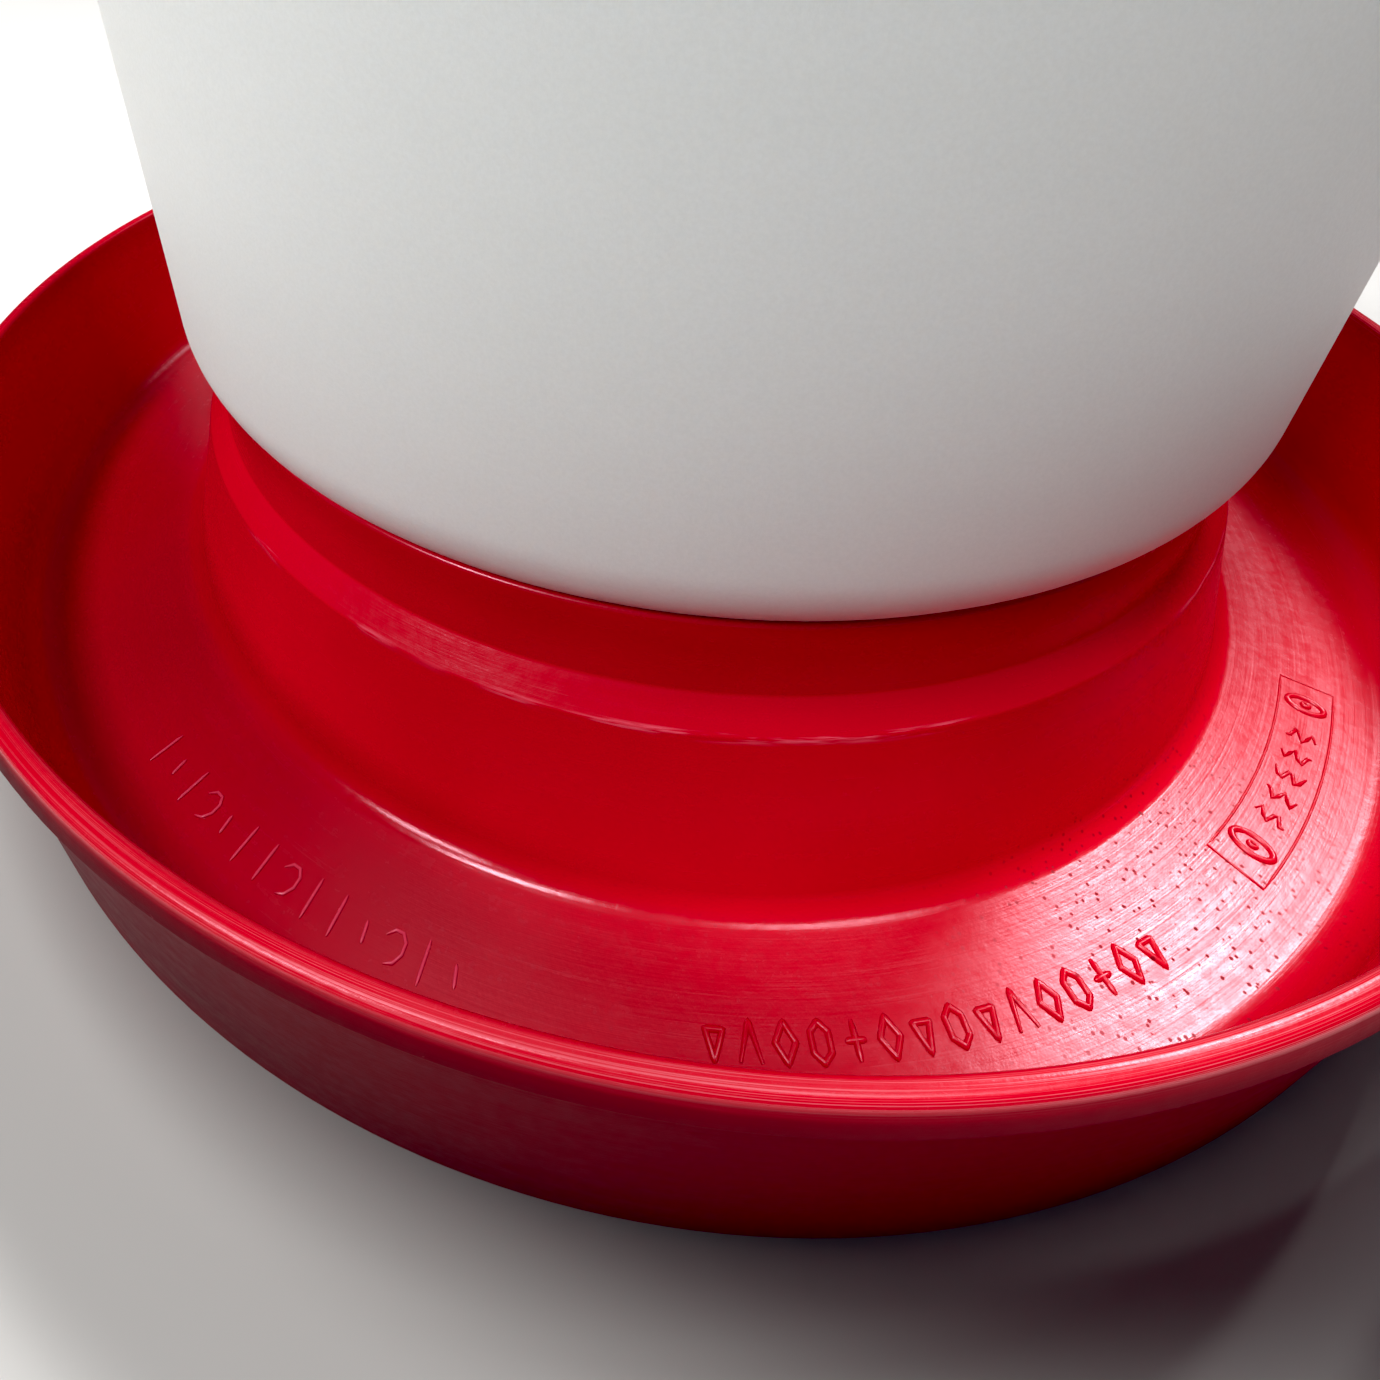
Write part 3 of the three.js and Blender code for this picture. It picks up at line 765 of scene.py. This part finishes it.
MOUTH = 117.0
MOUTH_Z = SEAT + 3.6
LOCK_LEAD, LOCK_HEIGHT, LOCK_ARC, LOCK_DEPTH = 32.0, 3.2, 30.0, 7.0
LOCK_Z = MOUTH_Z + 0.3 + LOCK_HEIGHT / 2
QUARTERS = (0, 90, 180, 270)

BOSS = OUTLET_BORE + WALL
boss_outline = [(0, WELL + 1, 0), (BOSS, WELL + 1, 0), (BOSS, OUTLET_FACE, 0.5), (0, OUTLET_FACE, 0)]
boss = bar("boss", rounded(boss_outline), along_y(OUTLET_Z), pan_red)
pan_lugs = [
    helical_ridge("lug", COLLAR_BORE + 1, MOUTH + 1, LOCK_HEIGHT, LOCK_LEAD, quarter - LOCK_ARC / 2,
                  LOCK_ARC, LOCK_Z + LOCK_HEIGHT + 0.5, pan_red)
    for quarter in QUARTERS
]
combine(pan, [boss, *pan_lugs], "UNION")
inner_end, outer_end = WELL - 3, OUTLET_FACE + 3
tunnel_outline = [(0, inner_end), (OUTLET_BORE, inner_end), (OUTLET_BORE, outer_end), (0, outer_end)]
tunnel = bar("tunnel", tunnel_outline, along_y(OUTLET_Z), pan_red)
combine(pan, [tunnel], "DIFFERENCE")
finished(pan, "pan", "pan_red", "base_pan")

# %% [markdown]
# ## Marks in the trough floor
#
# A moulder engraves the mould, and the pan comes out with low ridges on the trough floor: a
# row of ticks, a row of plain shapes and a framed patch. Ours say nothing. Each is one
# raised line that follows a path, with a rounded top and ends that fade, sunk slightly into
# the floor so that no gap shows.

# %% Raised lines on the floor
MARK_HEIGHT = 0.6
MARK_SINK = 0.3                                        # how far a line reaches into the floor
mark_vertices, mark_faces = [], []


def raised_line(path, width=1.1, closed=False, height=MARK_HEIGHT):
    """Adds a low ridge along flat points. Its section is a rounded bead."""
    section = [(-0.5, -MARK_SINK), (-0.5, 0.25 * height), (-0.3, 0.8 * height), (0, height),
               (0.3, 0.8 * height), (0.5, 0.25 * height), (0.5, -MARK_SINK)]
    count, size, base = len(path), len(section), len(mark_vertices)
    for i, point in enumerate(path):
        before = path[i - 1] if closed or i else point
        after = path[(i + 1) % count] if closed or i < count - 1 else point
        way = (after - before).normalized()
        side = Vector((way.y, -way.x))
        fade = 1.0 if closed or 0 < i < count - 1 else 0.55
        for across, rise in section:
            spot = point + side * across * width * fade
            mark_vertices.append((spot.x, spot.y, FLOOR + (rise * fade if rise > 0 else rise)))
    for i in range(count if closed else count - 1):
        here, there = base + size * i, base + size * ((i + 1) % count)
        for k in range(size):
            m = (k + 1) % size
            mark_faces.append((here + k, here + m, there + m, there + k))
    if not closed:
        mark_faces.append(tuple(base + k for k in reversed(range(size))))
        mark_faces.append(tuple(base + size * (count - 1) + k for k in range(size)))


def straight(first, last, steps=6):
    """Points of a straight stroke."""
    return [first.lerp(last, i / steps) for i in range(steps + 1)]


def loop(centre, radius_x, radius_y, lean, steps=28):
    """Points of an oval, turned by the lean."""
    c, s = math.cos(lean), math.sin(lean)
    points = []
    for i in range(steps):
        x, y = radius_x * math.cos(TAU * i / steps), radius_y * math.sin(TAU * i / steps)
        points.append(centre + Vector((c * x - s * y, s * x + c * y)))
    return points


def shape(centre, half_width, half_height, corners, lean):
    """Outline of a regular shape, stretched, with points close beside its corners to keep them tight."""
    c, s = math.cos(lean), math.sin(lean)
    tips = []
    for i in range(corners):
        x, y = half_width * math.sin(TAU * i / corners), -half_height * math.cos(TAU * i / corners)
        tips.append(centre + Vector((c * x - s * y, s * x + c * y)))
    return [a.lerp(b, share) for a, b in zip(tips, tips[1:] + tips[:1]) for share in (0, 0.06, 0.94)]


TALL = 2.9                                             # half a bold shape's height
CHEVRON = ((TALL, -0.6), (-TALL, 0), (TALL, 0.6))      # millimetres along, degrees across
SHAPES = (3, 0, 4, 6, 1, 4, 3, 6)                      # corners: 0 is a chevron and 1 is a cross
for i in range(15):                                    # bold shapes, right of the front
    azimuth = 4.8 + 2.0 * i
    corners = SHAPES[i % len(SHAPES)]
    if corners > 1:
        outline = shape(floor_point(ROW, azimuth), 1.7, TALL, corners, math.radians(azimuth))
        raised_line(outline, closed=True)
    elif corners == 0:
        tips = [floor_point(ROW + up, azimuth + across) for up, across in CHEVRON]
        raised_line([tips[0], tips[0].lerp(tips[1], 0.95), tips[1], tips[1].lerp(tips[2], 0.05), tips[2]])
    else:
        raised_line(straight(floor_point(ROW - TALL, azimuth), floor_point(ROW + TALL, azimuth)))
        raised_line(straight(floor_point(ROW, azimuth - 0.6), floor_point(ROW, azimuth + 0.6)))

for i in range(14):                                    # fine strokes and hooks, left of the front
    azimuth = -10.5 - 2.1 * i
    if i % 4 == 2:
        turns = [0.7 * k for k in range(7)]
        hook = [floor_point(ROW + 2.8 * math.cos(t), azimuth + 0.8 * math.sin(t)) for t in turns]
        raised_line(hook, width=0.7, height=0.45)
    else:
        length = 3.6 if i % 3 else 1.8
        ends = floor_point(ROW - length, azimuth - 0.1), floor_point(ROW + length, azimuth + 0.3)
        raised_line(straight(*ends), width=0.7, height=0.45)

PATCH = (158.4, 168.4, 42.6, 63.6)                     # framed patch: radii and azimuths
inner_r, outer_r, from_az, to_az = PATCH
edge = [floor_point(inner_r, from_az + (to_az - from_az) * i / 16) for i in range(17)]
edge += [floor_point(outer_r, to_az - (to_az - from_az) * i / 16) for i in range(17)]
raised_line(edge, width=0.5, closed=True, height=0.3)
middle_r = (inner_r + outer_r) / 2
for azimuth, size in ((45.2, 3.6), (61.2, 3.4)):
    middle, lean = floor_point(middle_r, azimuth), math.radians(azimuth)
    raised_line(loop(middle, 0.62 * size, size, lean), width=1.3, closed=True)
    raised_line(loop(middle, 0.5, 0.7, lean), width=0.8, closed=True)
for i in range(5):
    azimuth = 48.4 + 2.3 * i
    sway = [0.55 * math.sin(1.7 * k + i) for k in range(8)]
    squiggle = [floor_point(middle_r - 2.6 + 0.75 * k, azimuth + sway[k]) for k in range(8)]
    raised_line(squiggle, width=0.8, height=0.5)

marks = solid("floor_marks", mark_vertices, mark_faces, pan_red, 60)
finished(marks, "pan", "pan_red")

# %% [markdown]
# ## The tank
#
# A blown bottle has one even wall and no sharp corner anywhere. The outline climbs from the
# mouth round the big lower corner, up the wall, over the shoulder to the filling neck, and
# comes back down the inside. The lugs, the ears for the bail and the neck's thread are joined
# to it, and the wire's holes are cut into the ears.

# %% Turn the tank
CROWN = TANK_FLOOR + 350.0
TANK_WALL = 2.5
SHOULDER = 34.0
NECK = 42.0
NECK_FOOT = CROWN + 8.0
NECK_TOP = tank_high.z / MM
corner_centre = (TANK - CORNER, TANK_FLOOR + CORNER)
shoulder_centre = (TANK - SHOULDER, CROWN - SHOULDER)
mouth_angle = -math.degrees(math.acos((MOUTH - corner_centre[0]) / CORNER))

tank_outline = rounded([
    (MOUTH, MOUTH_Z, 0.8),
    (MOUTH, corner_height(MOUTH), 0),
    *arc(corner_centre, CORNER, mouth_angle + 1, 0, 14),
    *arc(shoulder_centre, SHOULDER, 0, 90, 18),
    (NECK + 0.6, NECK_FOOT, 5.0),
    (NECK, NECK_TOP, 0.9),
    (NECK - TANK_WALL, NECK_TOP, 0.9),
    (NECK - TANK_WALL, NECK_FOOT - TANK_WALL, 3.0),
    *arc(shoulder_centre, SHOULDER - TANK_WALL, 90, 0, 14),
    *arc(corner_centre, CORNER - TANK_WALL, 0, -90, 12),
    (MOUTH - TANK_WALL, MOUTH_Z, 0.8),
], closed=True)
tank = turned("tank_moulding", tank_outline, tank_milk, steps=256, closed=True)
print("tank outline has", len(tank_outline), "points")

# %% [markdown]
# Everything that stands out of the bottle's wall is a closed solid that is joined to it: four
# lugs for the pan, two runs of thread for the cap, and two ears. Each ear then gets a blind
# hole for the wire, because a through hole would let air into the tank.

# %% Lugs, thread and ears
EAR_Z = CROWN - 46.0
EAR_FACE = TANK + 11.0
EAR_RADIUS = 11.0
PIN_BORE = 3.1                                         # hole in the ear for the wire
THREAD_Z = NECK_TOP - 10.0
THREAD_DEPTH = 2.0
THREAD_HEIGHT = 2.4
THREAD_TAPER = 0.8
CAP_LEAD = 12.0
NECK_THREAD_ARC, CAP_THREAD_ARC = 140, 60
HALVES = (0, 180)


def along_x(side, z):
    """Lays a turned piece along +X or -X at a height."""
    return Matrix.Translation((0, 0, z * MM)) @ Matrix.Rotation(side * math.pi / 2, 4, "Y")


additions = [
    helical_ridge("lug", MOUTH - 1, MOUTH + LOCK_DEPTH, LOCK_HEIGHT, LOCK_LEAD, quarter - LOCK_ARC / 2,
                  LOCK_ARC, LOCK_Z, tank_milk)
    for quarter in QUARTERS
]
additions += [
    helical_ridge("thread", NECK - 1, NECK + THREAD_DEPTH, THREAD_HEIGHT, CAP_LEAD, start, NECK_THREAD_ARC,
                  THREAD_Z, tank_milk, taper=THREAD_TAPER, steps=60)
    for start in HALVES
]
holes = []
for side in (-1, 1):
    root = TANK - 1.5
    ear = rounded([(0, root, 0), (EAR_RADIUS, root, 0), (EAR_RADIUS, EAR_FACE, 1.6), (0, EAR_FACE, 0)])
    additions.append(bar("ear", ear, along_x(side, EAR_Z), tank_milk))
    hole = [(0, EAR_FACE - 9), (PIN_BORE, EAR_FACE - 9), (PIN_BORE, EAR_FACE + 1), (0, EAR_FACE + 1)]
    holes.append(bar("hole", hole, along_x(side, EAR_Z), tank_milk, 32))
combine(tank, additions, "UNION")
combine(tank, holes, "DIFFERENCE")
finished(tank, "tank", "tank_milk", "tank")

# %% [markdown]
# ## The filling cap
#
# The cap is a shallow cup with a thread inside. Ribs round its side and a bar across its top
# give wet fingers something to hold. The ribs are made by letting the radius swell twenty
# times round the turn, and they fade out under the rounded top edge.

# %% Turn the cap
cap_low, cap_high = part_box("fill_cap")
CAP_BORE = NECK + 2.8
CAP_RADIUS = CAP_BORE + 2.8
CAP_SKIRT = cap_low.z / MM
CAP_UNDER = CAP_SKIRT + 17.0
CAP_TOP = CAP_UNDER + 3.0
RIBS = 20
GROOVE = 35.0                                          # shallow ring in the cap's top


def ribbed(r, z, angles):
    """Swells the cap's outer wall into round ribs."""
    if r < CAP_RADIUS - 0.3 or z > CAP_TOP - 2.0:
        return np.full(len(angles), r)
    reach = 1.6 * min(1.0, (CAP_TOP - 2.0 - z) / 2.0)
    phase = np.abs((angles * RIBS / TAU + 0.5) % 1.0 - 0.5) * TAU * CAP_RADIUS / RIBS
    return r + reach * np.clip((2.4 - phase) / 0.8, 0, 1) ** 0.6


cap_outline = rounded([
    (0, CAP_UNDER, 0),
    (CAP_BORE, CAP_UNDER, 0.8),
    (CAP_BORE, CAP_SKIRT, 0.5),
    (CAP_RADIUS, CAP_SKIRT, 0),
    (CAP_RADIUS, CAP_SKIRT + 0.6, 0),
    *[(CAP_RADIUS, CAP_SKIRT + 1 + i, 0) for i in range(16)],
    (CAP_RADIUS, CAP_TOP - 2.4, 0),
    *arc((CAP_RADIUS - 2, CAP_TOP - 2), 2, 0, 90, 6),
    (GROOVE + 1, CAP_TOP, 0.4),
    (GROOVE + 0.4, CAP_TOP - 0.5, 0.4),
    (GROOVE - 1, CAP_TOP - 0.5, 0.4),
    (GROOVE - 1.6, CAP_TOP, 0.4),
    (0, CAP_TOP, 0),
])
cap = turned("cap_moulding", cap_outline, cap_red, steps=480, shape=ribbed)


def block(name, size, middle, edge_radius, material):
    """A box with rounded edges, in millimetres."""
    x, y, z = (side / 2 for side in size)
    corners = [(sx * x, sy * y, sz * z) for sx in (-1, 1) for sy in (-1, 1) for sz in (-1, 1)]
    faces = [(0, 1, 3, 2), (4, 6, 7, 5), (0, 4, 5, 1), (2, 3, 7, 6), (0, 2, 6, 4), (1, 5, 7, 3)]
    piece = solid(name, corners, faces, material)
    piece.data.transform(Matrix.Translation(Vector(middle) * MM))
    edge = piece.modifiers.new("edge", "BEVEL")
    edge.width = edge_radius * MM
    edge.segments = 4
    edge.limit_method = "NONE"
    graph = bpy.context.evaluated_depsgraph_get()
    piece.data = bpy.data.meshes.new_from_object(piece.evaluated_get(graph))
    piece.modifiers.clear()
    return piece


bar_top = cap_high.z / MM
bar_height = bar_top - CAP_TOP + 1.0
grip_bar = block("bar", (72, 12, bar_height), (0, 0, bar_top - bar_height / 2), 1.8, cap_red)
CAP_THREAD_SHIFT = 40                                  # degrees past the start of a neck thread
cap_thread_z = THREAD_Z + CAP_LEAD * (CAP_THREAD_SHIFT / 360 - 1 / 4)
cap_threads = [
    helical_ridge("thread", CAP_BORE + 1, CAP_BORE - THREAD_DEPTH, THREAD_HEIGHT, CAP_LEAD,
                  start + CAP_THREAD_SHIFT, CAP_THREAD_ARC, cap_thread_z, cap_red, taper=THREAD_TAPER)
    for start in HALVES
]
combine(cap, [grip_bar, *cap_threads], "UNION")
finished(cap, "cap", "cap_red", "fill_cap")

# %% [markdown]
# ## The two gaskets
#
# Both are flat rings cut from sheet and slightly rounded by wear. One lies under the tank's
# mouth, the other in the cap. They show when the tank or the cap is off.

# %% Turn the gaskets


def gasket(name, node, width, body):
    """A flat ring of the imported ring's outer size, with softly rounded edges."""
    low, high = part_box(node)
    outer, bottom, top = high.x / MM, low.z / MM, high.z / MM
    inner = outer - width
    section = [(inner, bottom, 0.5), (outer, bottom, 0.5), (outer, top, 0.5), (inner, top, 0.5)]
    ring = turned(name, rounded(section, closed=True), seal_rubber, steps=192, closed=True)
    return finished(ring, body, "seal_rubber", node)


gasket("mouth_gasket", "tank_gasket", 5.0, "tank_seal")
gasket("cap_washer", "cap_gasket", 8.0, "cap_seal")

# %% [markdown]
# ## The bail and its grip
#
# The bail is 5 mm wire, bent so that its ends turn inwards into the ears. A path of straight
# runs and smooth bends is followed by a round section. It is built upright and then swung
# down to where the grip hangs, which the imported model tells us.

# %% Bend the wire
WIRE = 2.5
grip_low, grip_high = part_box("bail_grip")
grip_middle = (grip_low + grip_high) / 2 / MM
REACH = math.hypot(grip_middle.y, grip_middle.z - EAR_Z)
SWING = math.atan2(grip_middle.z - EAR_Z, grip_middle.y) - math.pi / 2
hang = Matrix.Translation((0, 0, EAR_Z * MM)) @ Matrix.Rotation(SWING, 4, "X")
BEND = 7.0
LEG = EAR_FACE + 1.0 + BEND
HALF_GRIP = (grip_high.x - grip_low.x) / 2 / MM
print("bail reach", round(REACH, 1), "mm, hangs", round(-math.degrees(SWING) - 90, 1), "degrees below level")


def bezier(a, b, c, steps):
    """A smooth bend from a to c that leans towards b."""
    shares = [i / steps for i in range(steps + 1)]
    return [a * (1 - t) ** 2 + b * 2 * t * (1 - t) + c * t ** 2 for t in shares]


def bail_half(side):
    """From the wire's end in the ear to the grip."""
    turn = HALF_GRIP + WIRE
    drop = REACH - (LEG - turn)

    def spot(x, z):
        return Vector((side * x, 0, z))

    path = [spot(EAR_FACE - 8 + 1.5 * i, 0) for i in range(6)]
    path += bezier(spot(LEG - BEND, 0), spot(LEG, 0), spot(LEG, BEND), 10)
    path += [spot(LEG, BEND + (drop - BEND) * i / 10) for i in range(1, 10)]
    path += bezier(spot(LEG, drop), spot(LEG, REACH), spot(turn, REACH), 36)
    return path


def tube(name, path, radius, material, sides=28, plane=Vector((0, 1, 0))):
    """A round bar along a path that stays in one plane, with softened ends."""
    vertices, faces = [], []
    ends = {0: 0.7, len(path) - 1: 0.7}
    for i, point in enumerate(path):
        way = (path[min(i + 1, len(path) - 1)] - path[max(i - 1, 0)]).normalized()
        across = way.cross(plane)
        for k in range(sides):
            angle = TAU * k / sides
            outwards = across * math.cos(angle) + plane * math.sin(angle)
            vertices.append(point + outwards * radius * ends.get(i, 1))
    for i in range(len(path) - 1):
        for k in range(sides):
            m = (k + 1) % sides
            faces.append((sides * i + k, sides * (i + 1) + k, sides * (i + 1) + m, sides * i + m))
    faces.append(tuple(range(sides)))
    faces.append(tuple(sides * (len(path) - 1) + k for k in reversed(range(sides))))
    return solid(name, vertices, faces, material, 50)


left, right_half = bail_half(-1), bail_half(1)
middle_run = [Vector((x, 0, REACH)) for x in np.linspace(left[-1].x, right_half[-1].x, 14)[1:-1]]
wire_path = left + middle_run + right_half[::-1]
inset = [wire_path[0] + Vector((0.6, 0, 0))] + wire_path[1:-1] + [wire_path[-1] - Vector((0.6, 0, 0))]
wire_path = [wire_path[0]] + inset[:1] + wire_path[1:-1] + inset[-1:] + [wire_path[-1]]
wire = tube("bail_rod", wire_path, WIRE, wire_steel)
wire.data.transform(hang)
finished(wire, "bail", "wire_steel", "bail_wire")

# %% [markdown]
# The grip is a hollow plastic roll that turns on the wire. Five shallow waists fit the fingers,
# and it thins a little towards its ends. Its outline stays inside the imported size.

# %% Turn the grip
GRIP = (grip_high.z - grip_low.z) / 2 / MM
GRIP_BORE = 3.0


def grip_outline():
    """Half of the grip's section: a flat bore and a waisted outside."""
    points = [(GRIP_BORE, -HALF_GRIP, 0.4), (GRIP - 1.9, -HALF_GRIP, 0.7)]
    steps = 60
    for i in range(1, steps):
        x = -HALF_GRIP + 2 * HALF_GRIP * i / steps
        crown = GRIP - 1.5 * max(0.0, (abs(x) - HALF_GRIP / 2) / (HALF_GRIP / 2))
        waist = 0.9 * (0.5 + 0.5 * math.cos(TAU * x / 15.5)) if abs(x) < 40 else 0.35
        points.append((crown - waist - 0.05, x, 0))
    return points + [(GRIP - 1.9, HALF_GRIP, 0.7), (GRIP_BORE, HALF_GRIP, 0.4)]


handgrip = turned("bail_handgrip", rounded(grip_outline(), closed=True), grip_black, steps=96, closed=True)
lay_down = Matrix.Translation(grip_middle * MM) @ Matrix.Rotation(math.pi / 2, 4, "Y")
handgrip.data.transform(lay_down)
finished(handgrip, "grip", "grip_black", "bail_grip")

# %% [markdown]
# ## The stopper
#
# A tapered rubber plug with a flange that seats on the outlet's flat face and a pull tab with
# a hole. The tab is a rounded block, joined to the turned part, with the hole cut through.

# %% Turn the stopper
FLANGE = 8.0
FLANGE_FOOT, FLANGE_TOP = 0.3, 2.8                     # above the outlet's flat face
TAB_REACH = 6.0
plug_outline = rounded([
    (0, -PLUG_REACH, 0),
    (3.75, -PLUG_REACH, 0.8),
    (4.65, FLANGE_FOOT, 0.3),
    (FLANGE, FLANGE_FOOT, 0.7),
    (FLANGE, FLANGE_TOP, 0.9),
    (0, FLANGE_TOP, 0),
])
stopper = turned("stopper", plug_outline, seal_rubber, steps=72)
tab = block("tab", (13, 3, 14), (0, 0, FLANGE_TOP + TAB_REACH), 1.2, seal_rubber)
combine(stopper, [tab], "UNION")
hole_turn = Matrix.Translation((0, 0, (FLANGE_TOP + 6.5) * MM)) @ Matrix.Rotation(math.pi / 2, 4, "X")
tab_hole = turned("tab_hole", [(0, -4), (3.5, -4), (3.5, 4), (0, 4)], seal_rubber, steps=48)
tab_hole.data.transform(hole_turn)
combine(stopper, [tab_hole], "DIFFERENCE")
stopper.data.transform(along_y(OUTLET_Z, OUTLET_FACE))
finished(stopper, "stopper", "seal_rubber", "outlet_plug")

# %% [markdown]
# ## The floor
#
# The drinker stands on a plain pale floor, wide enough that its edge never shows.

# %% Lay the floor


def floor_finish():
    """Pale matt paint with slow clouds of tone."""
    net = Net("studio_floor", (0.8, 0.8, 0.8))
    cloud = net.noise(net.place(), 3.0, 3.0)
    colour = net.mix(cloud, (0.70, 0.70, 0.70, 1), (0.76, 0.76, 0.755, 1))
    return net.finish(Base_Color=colour, Roughness=0.7)


HALF_FLOOR = 6000.0
floor_corners = [(x * HALF_FLOOR, y * HALF_FLOOR, -0.2) for x, y in ((-1, -1), (1, -1), (1, 1), (-1, 1))]
ground = solid("studio_ground", floor_corners, [(0, 1, 2, 3)], floor_finish())
print("floor is", 2 * HALF_FLOOR * MM, "metres across")

# %% [markdown]
# A flag is a black card that keeps light off one part of a set. Ours is a flat sickle just
# outside the lip, round the front. It shades the skirt, so that the lit lip stands out against
# a dark outer wall. The camera can't see it.

# %% Hang the flag


def flag(inner, outer, height, from_azimuth, to_azimuth, steps=60):
    """A flat black sickle outside the lip. It is widest in the middle and narrow at its ends."""
    vertices = []
    for i in range(steps + 1):
        azimuth = from_azimuth + (to_azimuth - from_azimuth) * i / steps
        reach = outer - (outer - inner) * 0.7 * abs(2 * i / steps - 1) ** 3
        for radius in (inner, reach):
            spot = floor_point(radius, azimuth)
            vertices.append((spot.x, spot.y, height))
    faces = [(2 * i, 2 * i + 1, 2 * i + 3, 2 * i + 2) for i in range(steps)]
    net = Net("flag_black", (0, 0, 0))
    weave = net.remap(net.noise(net.place(), 300.0), 0, 1, 0.85, 1.0)
    black = net.finish(Base_Color=(0.004, 0.004, 0.004, 1), Roughness=weave)
    card = solid("light_flag", vertices, faces, black)
    card.visible_camera = False
    return card


flag(LIP + 0.15, LIP + 44.0, PAN_TOP - 1.0, -112, 97)
